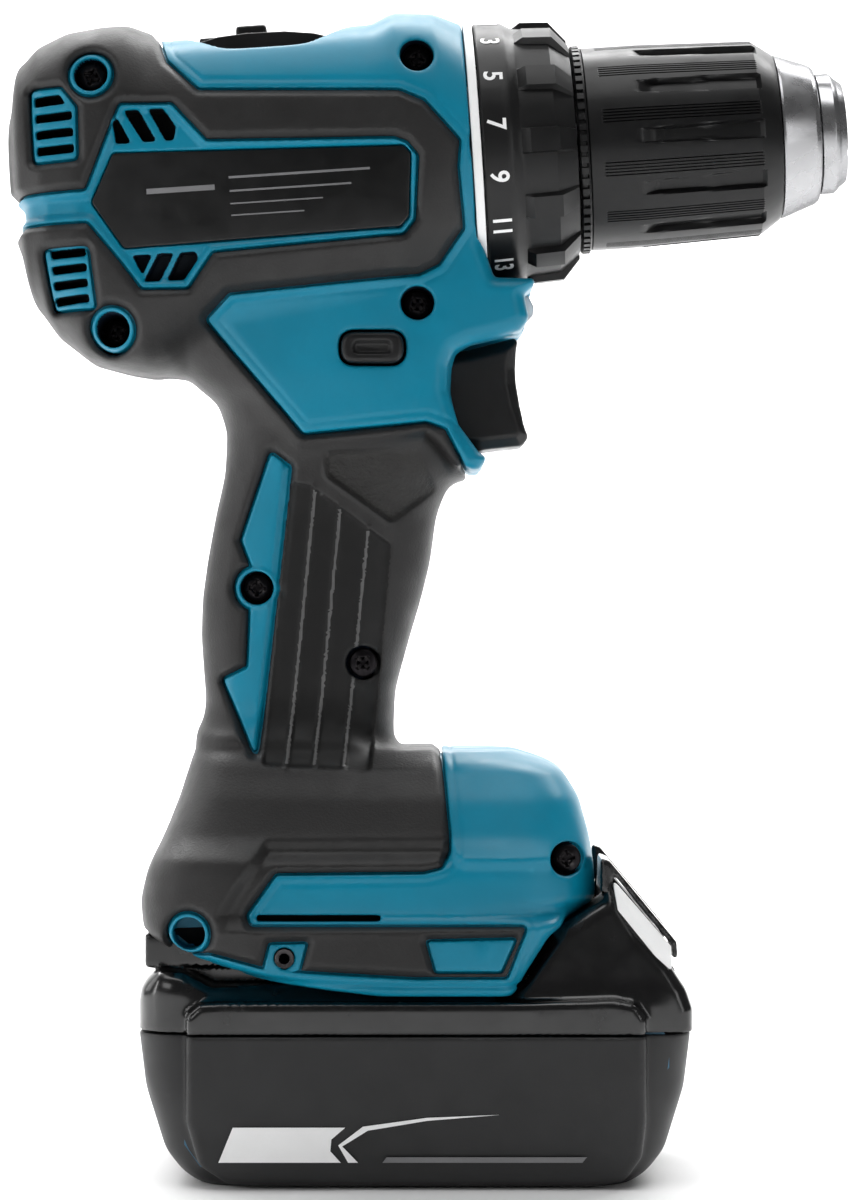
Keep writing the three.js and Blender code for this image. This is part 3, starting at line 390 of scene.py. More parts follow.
def mesh_of(name, points, faces):
    """A smooth mesh from points in mm and faces that all have the same number of sides."""
    me = bpy.data.meshes.new(name)
    faces = np.asarray(faces, np.int32)
    sides = faces.shape[1]
    me.vertices.add(len(points))
    me.vertices.foreach_set("co", (np.asarray(points) * MM).astype(np.float32).ravel())
    me.loops.add(faces.size)
    me.loops.foreach_set("vertex_index", faces.ravel())
    me.polygons.add(len(faces))
    me.polygons.foreach_set("loop_start", np.arange(0, faces.size, sides, dtype=np.int32))
    me.polygons.foreach_set("loop_total", np.full(len(faces), sides, np.int32))
    me.update(calc_edges=True)
    smooth(me)
    return me


def face_out(me, weld=False):
    """Turns every face of a closed mesh to point out."""
    bm = bmesh.new()
    bm.from_mesh(me)
    if weld:
        bmesh.ops.remove_doubles(bm, verts=bm.verts, dist=1e-5)
    bmesh.ops.recalc_face_normals(bm, faces=bm.faces)
    bm.to_mesh(me)
    bm.free()
    smooth(me)


def band(i, j, sides):
    """The quads between ring i and ring j of a mesh whose rings have the same number of points."""
    a = np.arange(sides)
    b = (a + 1) % sides
    return np.stack([i * sides + a, i * sides + b, j * sides + b, j * sides + a], 1)


def evaluated(ob):
    """A new mesh with the object's modifiers applied."""
    return bpy.data.meshes.new_from_object(ob.evaluated_get(bpy.context.evaluated_depsgraph_get()))


def add_object(name, me, material=None):
    ob = bpy.data.objects.new(name, me)
    bpy.context.scene.collection.objects.link(ob)
    for m in material if isinstance(material, (list, tuple)) else [material]:
        if m:
            me.materials.append(m)
    return ob


def thinned(name, me, ratio):
    """The mesh with fewer faces where it is flat."""
    ob = add_object(name + "_dense", me)
    m = ob.modifiers.new("thin", "DECIMATE")
    m.ratio = ratio
    m.use_collapse_triangulate = True
    out = evaluated(ob)
    out.name = name
    bpy.data.objects.remove(ob)
    bpy.data.meshes.remove(me)
    return out


CREASE = 0.985  # cosine of the angle above which a corner takes its own normal
CORNER_REACH = 0.55  # mm from a corner towards its face's middle, where that normal is taken


def shade_from_field(me, field, g):
    """Corner normals taken from the field, so that the shading is as smooth as the surface itself."""
    co = np.empty(len(me.vertices) * 3, np.float32)
    me.vertices.foreach_get("co", co)
    co = co.reshape(-1, 3) / MM
    corner = np.empty(len(me.loops), np.int32)
    me.loops.foreach_get("vertex_index", corner)
    face_of = np.repeat(np.arange(len(me.polygons)), [p.loop_total for p in me.polygons])
    centre = np.zeros((len(me.polygons), 3), np.float32)
    np.add.at(centre, face_of, co[corner])
    centre /= np.bincount(face_of)[:, None]

    def direction(p):
        n = slope_at(field, g, p, 1.0)
        return n / np.maximum(np.linalg.norm(n, axis=1), 1e-6)[:, None]

    at_vertex = direction(co)[corner]
    toward = centre[face_of] - co[corner]
    length = np.linalg.norm(toward, axis=1)[:, None]
    at_corner = direction(co[corner] + toward * np.minimum(1, CORNER_REACH / np.maximum(length, 1e-6)))
    alike = (at_vertex * at_corner).sum(1) > CREASE
    return np.where(alike[:, None], at_vertex, at_corner)


def field_piece(name, field, g, material, ratio, mirror=False, wanted=None, index_of=None):
    """A finished object from a field. mirror flips it to the other side of the drill."""
    points, faces = surface(field, g)
    if wanted is not None:
        points, faces = keep_faces(points, faces, wanted(points[faces].mean(1)))
    me = thinned(name, mesh_of(name, points, faces), ratio)
    normals = shade_from_field(me, field, g)
    if index_of is not None:
        centres = np.empty(len(me.polygons) * 3, np.float32)
        me.polygons.foreach_get("center", centres)
        me.polygons.foreach_set("material_index", index_of(centres.reshape(-1, 3) / MM))
    if mirror:
        me.transform(Matrix.Scale(-1, 4, (0, 1, 0)))
        starts = np.empty(len(me.polygons), np.int32)
        totals = np.empty(len(me.polygons), np.int32)
        me.polygons.foreach_get("loop_start", starts)
        me.polygons.foreach_get("loop_total", totals)
        order = np.arange(len(me.loops))
        for n in (3, 4):  # flip_normals keeps a face's first corner and reverses the others
            s = starts[totals == n]
            for k in range(1, n):
                order[s + k] = s + n - k
        me.flip_normals()
        normals = normals[order] * np.array([1, -1, 1], np.float32)
    smooth(me)
    me.normals_split_custom_set(normals.tolist())
    return add_object(name, me, material)


# ---------------------------------------------------------------- materials


def srgb(*rgb):
    """A colour as seen on a screen, 0 to 255, as linear light."""
    return tuple(v / 255 / 12.92 if v / 255 <= 0.04045 else ((v / 255 + 0.055) / 1.055) ** 2.4 for v in rgb) + (1,)


def finish(name, colour, roughness, metallic=0.0, grain=2500.0, bump=0.06, depth=0.00005, vary=0.06, vary_scale=60.0,
           rough_vary=0.06, edge_wear_and_highlight=0.0, edge_wear_and_highlight_colour=None, coat=0.0, coat_roughness=0.1, specular=0.5,
           transmission=0.0, ior=1.5, scratches=0.0):
    """A moulded, machined or painted surface: uneven colour and gloss, grain, fine scratches, and edges lightened
    partly as real wear and partly as a painted highlight.
    """
    mat = bpy.data.materials.new(name)
    mat.use_nodes = True
    nt = mat.node_tree
    nodes, link = nt.nodes, nt.links.new
    shader = nodes["Principled BSDF"]
    for socket, value in (("Metallic", metallic), ("Coat Weight", coat), ("Coat Roughness", coat_roughness),
                          ("Specular IOR Level", specular), ("Transmission Weight", transmission), ("IOR", ior)):
        shader.inputs[socket].default_value = value
    if metallic > 0.5:
        shader.inputs["Specular Tint"].default_value = (0.3, 0.3, 0.3, 1)
    place = nodes.new("ShaderNodeTexCoord").outputs["Object"]

    def noise(scale, detail=3.0, rough=0.55):
        n = nodes.new("ShaderNodeTexNoise")
        n.inputs["Scale"].default_value = scale
        n.inputs["Detail"].default_value = detail
        n.inputs["Roughness"].default_value = rough
        link(place, n.inputs["Vector"])
        return n.outputs["Fac"]

    def mix(fac, a, b):
        m = nodes.new("ShaderNodeMix")
        m.data_type = "RGBA"
        for i, value in ((0, fac), (6, a), (7, b)):  # factor and the two colours
            if hasattr(value, "links"):
                link(value, m.inputs[i])
            else:
                m.inputs[i].default_value = value
        return m.outputs[2]

    def maths(operation, a, b):
        m = nodes.new("ShaderNodeMath")
        m.operation = operation
        link(a, m.inputs[0])
        link(b, m.inputs[1])
        return m.outputs[0]

    def remap(value, lo, hi, a, b):
        r = nodes.new("ShaderNodeMapRange")
        for i, v in ((1, lo), (2, hi), (3, a), (4, b)):
            r.inputs[i].default_value = v
        link(value, r.inputs[0])
        return r.outputs[0]

    def tinted(k, plus=0.0):
        return tuple(min(1, c * k + plus) for c in colour[:3]) + (1,)

    darker, lighter = tinted(1 - 2.2 * vary), tinted(1 + 1.8 * vary)
    out = mix(remap(noise(vary_scale), 0.35, 0.65, 0, 1), darker, lighter)
    out = mix(remap(noise(grain * 0.6, 2.0), 0.3, 0.7, 0, 0.35), out, darker)
    # Lighter convex edges: partly real wear, partly a painted highlight where edges catch the light.
    if edge_wear_and_highlight:
        edge = remap(nodes.new("ShaderNodeNewGeometry").outputs["Pointiness"], 0.52, 0.62, 0, edge_wear_and_highlight)
        patchy = maths("MULTIPLY", edge, remap(noise(300.0, 4.0), 0.4, 0.6, 0.3, 1))
        out = mix(patchy, out, edge_wear_and_highlight_colour or tinted(1.8, 0.01))
    link(out, shader.inputs["Base Color"])
    low, high = max(0.03, roughness - rough_vary), min(1, roughness + rough_vary)
    link(remap(noise(vary_scale * 3, 4.0), 0.3, 0.7, low, high), shader.inputs["Roughness"])
    height = noise(grain, 2.5, 0.6)
    if scratches:
        lines = nodes.new("ShaderNodeTexWave")
        lines.inputs["Scale"].default_value = scratches
        lines.inputs["Distortion"].default_value = 3.0
        lines.inputs["Detail"].default_value = 3.0
        lines.bands_direction = "X"
        link(place, lines.inputs["Vector"])
        height = maths("ADD", height, lines.outputs["Fac"])
    b = nodes.new("ShaderNodeBump")
    b.inputs["Strength"].default_value = bump
    b.inputs["Distance"].default_value = depth
    link(height, b.inputs["Height"])
    link(b.outputs["Normal"], shader.inputs["Normal"])
    return mat


# The teal's edges take its lit tone: partly wear, partly a painted highlight.
TEAL = finish("teal_shell", srgb(0, 124, 153), 0.38, grain=1800, bump=0.10, vary=0.03, edge_wear_and_highlight=0.2,
              edge_wear_and_highlight_colour=srgb(60, 165, 190), specular=0.32)
RUBBER = finish("black_overmould", srgb(27, 26, 26), 0.5, grain=1900, bump=0.6, depth=0.00012, vary=0.08, edge_wear_and_highlight=0.25,
                specular=0.42)
GRAINY = finish("grained_overmould", srgb(38, 37, 36), 0.6, grain=1300, bump=1.0, depth=0.0003, vary=0.12,
                specular=0.4)
# The ribbed panel's edges lighten to grey: partly wear, partly a painted highlight.
PANEL = finish("ribbed_overmould", srgb(11, 11, 11), 0.55, grain=3000, bump=0.35, vary=0.08, edge_wear_and_highlight=0.45,
               edge_wear_and_highlight_colour=srgb(120, 120, 120), specular=0.32)
# Light grey for the faces along the grip's ribs: a painted highlight.
PAINTED_RIDGE_HIGHLIGHT = finish("ridge_painted_highlight", srgb(82, 82, 82), 0.4, grain=3000, bump=0.2, vary=0.12)
# Painted shade: black for deep faces in slots, the scoop, round the lever and over the battery.
PAINTED_SHADE_BLACK = finish("painted_shade_black", srgb(7, 8, 10), 0.8, vary=0.2, bump=0.1, specular=0.2)
# Painted shade in dark blue, for deep faces of the last slots, the screw wells and the hook hole.
PAINTED_SHADE_BLUE = finish("painted_shade_blue", srgb(4, 22, 40), 0.7, vary=0.2, bump=0.1, specular=0.3)
BLACK = finish("black_plastic", srgb(15, 15, 16), 0.40, grain=2200, bump=0.22, vary=0.1, edge_wear_and_highlight=0.2, specular=0.38)
SLEEVE = finish("sleeve_plastic", srgb(12, 12, 13), 0.36, grain=2400, bump=0.18, vary=0.1, edge_wear_and_highlight=0.25, specular=0.36)
GLOSS = finish("gloss_black", srgb(8, 8, 9), 0.22, grain=1500, bump=0.05, vary=0.12, coat=0.35, coat_roughness=0.12)
CASE = finish("battery_case_plastic", srgb(28, 28, 29), 0.46, grain=2600, bump=0.3, vary=0.06, edge_wear_and_highlight=0.2,
              specular=0.45)
PLATE_BLACK = finish("plate_satin", srgb(9, 9, 10), 0.34, grain=1500, bump=0.08, vary=0.12)
WHITE = finish("white_print", srgb(250, 250, 250), 0.42, vary=0.02, bump=0.08)
DIM = finish("grey_print", srgb(118, 118, 120), 0.5, vary=0.05, bump=0.08)
CHROME = finish("turned_steel", srgb(176, 176, 178), 0.27, metallic=1.0, grain=900, bump=0.03, vary=0.03,
                rough_vary=0.08, scratches=900.0, depth=0.00002)
STEEL = finish("steel", srgb(120, 120, 124), 0.30, metallic=1.0, grain=1200, bump=0.15, vary=0.06, scratches=500.0,
               depth=0.00003)
SCREW = finish("black_oxide", srgb(34, 32, 34), 0.30, metallic=0.85, grain=1600, bump=0.2, vary=0.12, edge_wear_and_highlight=0.4,
               edge_wear_and_highlight_colour=srgb(120, 116, 116))
COPPER = finish("copper", srgb(184, 110, 70), 0.34, metallic=1.0, vary=0.08, scratches=700.0)
ALLOY = finish("cast_alloy", srgb(176, 178, 182), 0.42, metallic=0.9, grain=1400, bump=0.35, vary=0.06)
BOARD = finish("board", srgb(22, 78, 52), 0.5, vary=0.08, grain=900, bump=0.2)
WRAP = finish("cell_wrap", srgb(64, 120, 150), 0.4, vary=0.06)
LENS = finish("lens", srgb(235, 240, 244), 0.08, transmission=0.55, vary=0.02, bump=0.05, ior=1.49)

# ---------------------------------------------------------------- the drill's body


def body_field(g):
    """The outside of the whole housing, before its openings: barrel, grip, wedge and base flowing into each other."""
    lx = g.x * CT + (g.z - AXIS_Z) * ST
    lz = -g.x * ST + (g.z - AXIS_Z) * CT
    top, bottom, half, power = table(BARREL, lx, 0.7)
    upright = np.abs((lz - (top + bottom) / 2) / ((top - bottom) / 2))
    barrel = (np.abs(g.y / half) ** power + upright ** power) ** (1 / power)
    barrel = as_distance(barrel - 1, g.step)
    barrel = smax(barrel, -86.4 - lx, 4.0)
    barrel = smax(barrel, lx - SHELL_FRONT, 0.8)
    rear, front, half = table(GRIP, g.z, 1.6)
    along = np.abs((g.x - (rear + front) / 2) / ((front - rear) / 2))
    grip = (along ** 2.8 + np.abs(g.y / half) ** 2.8) ** (1 / 2.8)
    grip = np.maximum(as_distance(grip - 1, g.step), np.maximum(64 - g.z, g.z - 190))
    rear, front, half = table(BASE, g.z, 1.0)
    along = (g.x - (rear + front) / 2) / ((front - rear) / 2)
    power = np.where(along > 0, 5 + 9 * ramp(57 - g.z, 0, 5), 5)  # a tighter front corner low down
    base = (np.abs(along) ** power + np.abs(g.y / half) ** power) ** (1 / power)
    base = as_distance(base - 1, g.step)
    base = smax(base, g.z - 88.4, 2.5)
    base = smax(base, 39.5 - g.z, 1.5)
    wedge = meet(polygon(WEDGE, g.x, g.z, 1.2), np.abs(g.y) - 22.4, 3.4)
    body = smin(barrel, wedge, 2.0)
    body = smin(body, grip, 5.0)
    return smin(body, base, 13.0 - 10.0 * ramp(g.x, -20, -7)), lx, lz


def carve(f, body, outline, depth, k=0.5):
    """Cuts a pocket of a given outline and depth into a solid."""
    return smax(f, -np.maximum(outline, -(body + depth)), k)


def make_body():
    """The shell and the overmould. Both are made on the right, and their left halves are mirrored."""
    g = Grid((-91.5, -42.3, 37.4), (38.5, 0.9, 248), 0.45)
    body, lx, lz = body_field(g)
    x, z, y = g.x, g.z, g.y
    away = np.abs(y)

    # Side-view fields.
    main = polygon(OVERMOULD, x, z, 1.0)
    windows = [polygon(w, x, z, 1.1) for w in REAR_WINDOWS]
    strip = polygon(GRIP_STRIP, x, z, 0.8)
    feet = [polygon(w, x, z, 0.5) for w in FOOT_WINDOWS]
    rings = [np.hypot(x - sx, z - sz) - 4.5 for sx, sz, _, ring in SCREWS if ring]
    foot_well = np.hypot(x - FOOT_WELL[0], z - FOOT_WELL[1])
    rings.append(foot_well - 4.3)
    rubber_edge = main
    for w in windows + [strip] + feet + rings:
        rubber_edge = np.maximum(rubber_edge, -w)
    label = polygon(LABEL_FRAME, x, z, 0.8)
    plate = polygon(PLATE, x, z, 1.2)
    channel = polygon(CHANNEL_PANEL, x, z, 2.0)
    slots = [polygon(world(s), x, z, 0.35) for s in SLOTS]
    foot = ramp(89 - z, 0, 8)  # 1 in the base

    # Both plastics step in under the base's ledge.
    body = body + 1.9 * ramp(-channel, -0.3, 3.0) * ramp(away, 20, 30)

    def opened(f, side):
        """The openings through both plastics. side is -1 on the right, where the screws go in."""
        r = np.sqrt(y * y + lz * lz)
        f = np.maximum(f, -np.maximum(r - GEAR_CASE_RADIUS, SHELL_FRONT - lx))
        f = smax(f, -block(g, *TRIGGER_OPENING), 0.4)
        lever = polygon([(-18.3, 168.4), (-4.3, 168.4), (-4.3, 175.9), (-18.3, 175.9)], x, z, 3.7)
        pivot = np.hypot(x - LEVER_PIVOT[0], z - LEVER_PIVOT[1]) - 2.6
        f = smax(f, -np.minimum(np.maximum(lever, 12 - away), pivot), 0.7)
        for box in SHARP_OPENINGS:
            f = np.maximum(f, -block(g, *box))
        scoop = (np.abs((lx + 31.8) / 19.4) ** 2.2 + np.abs(away / 25.4) ** 2.2) ** (1 / 2.2) - 1
        f = smax(f, -smax(scoop * 15, 22.9 - lz, 1.0), 0.5)
        f = smax(f, -np.maximum(foot_well - FOOT_WELL_RADIUS, 27 - away), 0.4)
        hook = np.hypot(x - HOOK_HOLE[0], z - HOOK_HOLE[1]) - HOOK_HOLE_RADIUS
        f = smax(f, -np.maximum(hook, 33.0 - away), 0.3)
        for sx, sz, half, _ in SCREWS:
            d = np.hypot(x - sx, z - sz)
            if side < 0:
                f = smax(f, -np.maximum(d - WELL_RADIUS, half - 3.8 - away), 0.6)
            else:
                f = smax(f, -np.maximum(d - DIMPLE_RADIUS, -(body + 1.0)), 0.4)
        return smax(f, y + 0.1, 0.3)

    # Teal shell.
    strip_side = x - (-33.4 + (z - 104) * 0.094)
    level = (body
             + 0.26 * np.exp(-((main - 1.9) / 0.36) ** 2) * ramp(label, 0.5, 1.5)  # a line along the overmould
             + 0.9 * ramp(strip, -1.9, -0.4) * (strip < 1.5) * ramp(strip_side, -1.2, -0.4)
             + (0.25 + 1.35 * ramp(-label, 0.5, 2.0)) * ramp(-label, -0.2, 0.4)  # the frame of the plate
             + 0.3 * ramp(-np.minimum(windows[0], windows[1]), 0, 0.8))
    for w in feet:
        level = level + 0.35 * ramp(-w, 0, 0.5)
    for w in rings:
        level = level - 0.35 * ramp(-w, 0.0, 0.4) * ramp(w, -1.6, -1.1)
    trim_z = 41.7 + 0.0022 * np.maximum(-x - 6, 0) ** 2  # a groove low on the base, rising to the rear
    level = level + 0.5 * (np.exp(-((z - trim_z) / 0.42) ** 2) * (z < 56))
    slot = segment((-34, 55.4), (-10, 55.4), x, z) - 0.65
    teal = smax(level, np.minimum(0.12 - rubber_edge, body + 1.6), 0.5)
    teal = carve(teal, body, slot, 4.0, 0.3)
    teal = carve(teal, body, plate - 0.25, 2.9, 0.3)
    for s in slots:
        teal = carve(teal, body, s, 6.5, 0.45)

    # Overmould: proud of the shell, with chamfered edges, a ribbed panel and a grained one on the grip.
    ribbed = polygon(RIBBED_PANEL, x, z, 1.2)
    grained = polygon(GRAIN_PANEL, x, z, 2.2)
    level = body - (0.85 - 0.4 * ramp(160 - z, 0, 6) * (1 - foot))  # less proud on the grip
    level = level + 0.8 * ramp(-ribbed, 0, 0.7)
    for a, b in RIDGES:
        line = segment(a, b, x, z)
        level = level - 0.62 * np.exp(-(line / 0.42) ** 2) * (ribbed < 0)
    level = level + 0.8 * ramp(-grained, 0, 1.5) * ramp(2.0 - (x + 21.5) * 0.055 - (z - 148) * 0.12, 0, 2.0)
    level = level - 0.6 * np.exp(-((grained + 0.3) / 0.5) ** 2) * ramp(-7 - x, -2, 3) * ramp(149 - z, -3, 2)
    ridge = segment((-42, 52.6), (21, 53.4), x, z)
    level = level - 0.5 * np.exp(-(ridge / 0.7) ** 2)
    chamfer = (level + rubber_edge + 1.6) * BEVEL
    rubber = smax(smax(level, chamfer, 0.3), rubber_edge + 0.28, 0.2)
    rubber = np.maximum(rubber, -(body + 1.45))

    # Faces that nothing shows are left out, and the others are given their colours: painted shade on deep faces of the
    # shell, and a painted highlight along the ribs of the grip.
    def visible_teal(p):
        d = sample(body, g, p)
        hidden = sample(rubber_edge, g, p) < -1.3
        inner = (p[:, 1] > -0.5) & (d < -2.5)
        return ~(hidden & (d < -1.0) & (d > -2.2)) & ~inner

    def visible_rubber(p):
        d = sample(body, g, p)
        return (d > -1.2) & ~((p[:, 1] > -0.45) & (d < -0.6))

    # Slots whose deep faces get painted shade, dark blue or black.
    painted_blue_shade_slots = np.minimum.reduce(slots[-3:])
    painted_shade_slots = np.minimum(np.minimum.reduce(slots[:-3]), slot)

    def teal_and_painted_shade_index(p):
        d = sample(body, g, p)
        px, py, pz = p.T
        out = np.zeros(len(p), np.int32)
        # Painted shade: deep faces are made black (1) or dark blue (2) by their depth.
        out[(d < -1.9) & (sample(painted_shade_slots, g, p) < 0.5)] = 1
        out[(d < -1.9) & (sample(painted_blue_shade_slots, g, p) < 0.5)] = 2
        out[(pz > 232) & (px < -8) & (px > -52) & (d < -0.9) & (np.abs(py) < 23)] = 1  # the scoop
        # Painted dark blue shade in the screw wells and the hook hole.
        well = (np.hypot(px - HOOK_HOLE[0], pz - HOOK_HOLE[1]) < 2.6) & (d < -1.0)
        for sx, sz, _, _ in SCREWS:
            well |= (np.hypot(px - sx, pz - sz) < 3.9) & (d < -1.6)
        out[well] = 2
        out[(px > -18.8) & (px < -3.8) & (pz > 168) & (pz < 176.4) & (d < -0.9)] = 1  # round the lever
        out[(pz < 52.5) & (np.abs(py) < 34.2) & (d < -2.5) & (px > -60)] = 1  # over the battery
        return out

    def rubber_index(p):
        out = np.zeros(len(p), np.int32)
        panel = sample(ribbed, g, p)
        out[panel < -0.25] = 1
        out[sample(grained, g, p) < -0.6] = 2
        # Faces along the ribs get the light grey of a painted highlight.
        for a, b in RIDGES:
            line = segment(a, b, p[:, 0], p[:, 2])
            out[(line < 0.3) & (out == 1) & (panel < -0.8)] = 3
        return out

    for side, name in SIDES:
        f = opened(teal, side)
        ob = field_piece(f"shell_{name}", f, g, [TEAL, PAINTED_SHADE_BLACK, PAINTED_SHADE_BLUE], 0.26, side > 0, visible_teal, teal_and_painted_shade_index)
        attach(ob, "tool")
        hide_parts(f"housing_{name}")
        f = opened(rubber, side)
        ob = field_piece(f"grip_cover_{name}", f, g, [RUBBER, PANEL, GRAINY, PAINTED_RIDGE_HIGHLIGHT], 0.26, side > 0, visible_rubber,
                         rubber_index)
        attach(ob, "tool")
        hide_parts(f"overmould_{name}")


make_body()

# ---------------------------------------------------------------- turned pieces


def turned(x, r, a, axis):
    """Points at place x along the x' axis, at radius r and angle a from it."""
    return np.stack([x, r * np.cos(a), r * np.sin(a)], axis)


def lathe(name, profile, sides, material):
    """A piece turned round the x' axis from points (x', r), with each corner of its profile kept crisp."""
    ring = np.arange(sides) * (2 * math.pi / sides)
    p = np.array(profile, float)
    v = turned(np.repeat(p[:, :1], sides, 1), p[:, 1:], ring, 2).reshape(-1, 3)
    n = len(p)
    me = mesh_of(name, from_barrel(v), np.concatenate([band(i, (i + 1) % n, sides) for i in range(n)]))
    mark_creases(me)
    return add_object(name, me, material)


def mark_creases(me, degrees=32):
    me.set_sharp_from_angle(angle=math.radians(degrees))


def round_profile(points, radius):
    """A closed profile with small radii at its corners."""
    return fillet(points, radius, 3)


def wall(name, xs, angles, radius, inner, material):
    """A hollow turned piece whose outside radius depends on place and angle: radius(x, angle) for each grid point."""
    nx, na = len(xs), len(angles)
    grid_x, grid_a = np.meshgrid(xs, angles, indexing="ij")
    r = radius(grid_x, grid_a)
    rings = [(xs[-1], inner[1]), (xs[0], inner[0])]
    v = np.concatenate([turned(grid_x, r, grid_a, 2).reshape(-1, 3)]
                       + [turned(np.full(na, x), inside, angles, 1) for x, inside in rings])
    faces = np.concatenate([band(i, (i + 1) % (nx + 2), na) for i in range(nx + 2)])
    me = mesh_of(name, from_barrel(v), faces)
    face_out(me)
    mark_creases(me, 28)
    return add_object(name, me, material)


def rows(*breaks):
    """Places along a line: each break is (place, number of steps to the next one)."""
    out = []
    for (a, n), (b, _) in zip(breaks, breaks[1:]):
        out += list(np.linspace(a, b, n, endpoint=False))
    return np.array(out + [breaks[-1][0]])


def step_at(v, a, width):
    """0 below a, and a straight slope up to 1 over the width."""
    return np.clip((v - a) / width, 0, 1)


# Angle 0 is on the drill's left side and 90 degrees is on top, so the near side is at 180 degrees.
PITCH = 30  # degrees between the sleeve's twelve grooves, and between the collar's twelve lugs
GROOVE_AT = 0.7  # degrees at which one of the grooves lies
STRIP_AT, RIB_PITCH = 14.8, 1.8  # degrees from a groove to the first of five fine ribs, and between ribs


def all_round(one):
    """The angles of one pitch, in degrees, repeated all the way round."""
    return np.radians(np.concatenate([np.array(one) + PITCH * i + GROOVE_AT for i in range(12)]))


def sleeve_angles():
    one = [-7.2, -6.2, -5.6, -4.8, -4.2, -3.4, -1.7, 0, 1.7, 3.4, 4.2, 4.8, 5.6, 6.2, 7.2, 10.4, 13.6]
    for k in range(5):
        c = STRIP_AT + k * RIB_PITCH
        one += [c - 0.75, c - 0.45, c + 0.45, c + 0.75]
    return all_round(one)


def sleeve_radius(x, a):
    """A groove that widens towards the front, with a sloping rear end, and a strip of five fine ribs beside it."""
    local = (np.degrees(a) - GROOVE_AT + 7.3) % PITCH - 7.3
    r = np.interp(x, [33.4, 33.9, 45, 69.6, 73.8, 74.2], [20.9, 21.4, 21.4, 20.6, 17.7, 17.3])
    half = 4.2 + 1.4 * step_at(x, 47, 23)
    across = 1 - step_at(np.abs(local), half - 0.8, 0.8)
    floor = step_at(x, 44.4, 3.0) * (1 - step_at(x, 69.5, 0.9))
    r = r - 1.35 * np.minimum(floor, across)
    k = (local - STRIP_AT) / RIB_PITCH
    rib = 1 - step_at(np.abs(k - np.round(k)) * RIB_PITCH, 0.45, 0.3)
    in_strip = (local > 13.8) & (local < 22.9)
    ends = step_at(x, 36.6, 0.5) * (1 - step_at(x, 69.4, 0.5))
    return r - in_strip * ends * 0.42 * (1 - rib)


sleeve = wall(
    "chuck_sleeve_body",
    rows((33.4, 1), (33.9, 3), (36.6, 2), (37.1, 6), (44.4, 5), (47.6, 3), (50, 10), (69.4, 1), (69.6, 1), (69.9, 2),
         (70.4, 4), (73.8, 1), (74.2, 0)),
    sleeve_angles(), sleeve_radius, (16.0, 15.6), SLEEVE)
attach(sleeve, "sleeve")
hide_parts("chuck_sleeve")

cone = lathe("sleeve_cone", round_profile([(74.4, 15.2), (74.4, 17.25), (75.0, 17.15), (81.6, 14.75), (82.5, 14.1),
                                           (82.5, 13.2), (78, 13.2)], 0.35), 168, CHROME)
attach(cone, "sleeve")
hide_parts("sleeve_nose")


def back_ring_radius(x, a):
    tooth = np.abs((np.degrees(a) / 6) % 1 - 0.5) < 0.2
    r = 22.0 - 0.7 * (tooth & (x > 31.9) & (x < 33.0))
    return r - 0.5 * step_at(x, 33.2, 0.4) - 0.4 * (1 - step_at(x, 31.5, 0.3))


ring_angles = np.radians(np.concatenate([np.array([0.6, 1.75, 1.85, 3.0, 4.15, 4.25]) + 6 * i for i in range(60)]))
back_ring = wall("chuck_rear_ring", rows((31.5, 1), (31.8, 1), (31.95, 2), (32.95, 1), (33.2, 1), (33.6, 0)),
                 ring_angles, back_ring_radius, (16.4, 16.4), BLACK)
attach(back_ring, "spindle")
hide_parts("chuck_back_ring")


# Torque collar: raised lugs on its front half.
COLLAR_ANGLES = all_round([-6.9, -5.9, -5.1, -2.5, 0, 2.5, 5.1, 5.9, 6.9, 10, 13, 16, 19, 21.4])
COLLAR_X, COLLAR_R = [11.4, 11.8, 17.2, 19.6, 26.7, 30.6, 31.0], [27.7, 28.0, 27.75, 26.4, 25.95, 22.7, 22.4]


def collar_radius(x, a):
    """A smooth rear half for the numbers, and twelve lugs that stand up from a lower front half."""
    local = (np.degrees(a) - GROOVE_AT + 7) % PITCH - 7
    base = np.interp(x, COLLAR_X, COLLAR_R)
    lug = np.interp(x, [11.4, 19.3, 21.4, 27.4, 31.0], [20.0, 26.3, 27.65, 27.35, 23.2])
    side = 1 - step_at(np.abs(local), 5.2, 0.7)
    return np.where(side > 0, np.maximum(base, base + (lug - base) * side), base)


collar = wall(
    "torque_dial",
    rows((11.4, 1), (11.8, 4), (17.2, 3), (19.3, 1), (19.6, 2), (21.4, 4), (26.7, 1), (27.4, 3), (30.6, 1), (31.0, 0)),
    COLLAR_ANGLES, collar_radius, (24.4, 15.8), BLACK)
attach(collar, "torque_collar")
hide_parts("torque_ring")

pointer = lathe("pointer_band", round_profile([(9.25, 24.5), (9.25, 28.15), (11.1, 28.3), (11.1, 24.5)], 0.3), 168,
                WHITE)
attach(pointer, "tool")
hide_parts("pointer_ring")


NUMBER_X, NUMBER_SIZE = 12.7, 4.9
FIRST_NUMBER, NUMBER_PITCH = 105.8, 22.4  # degrees


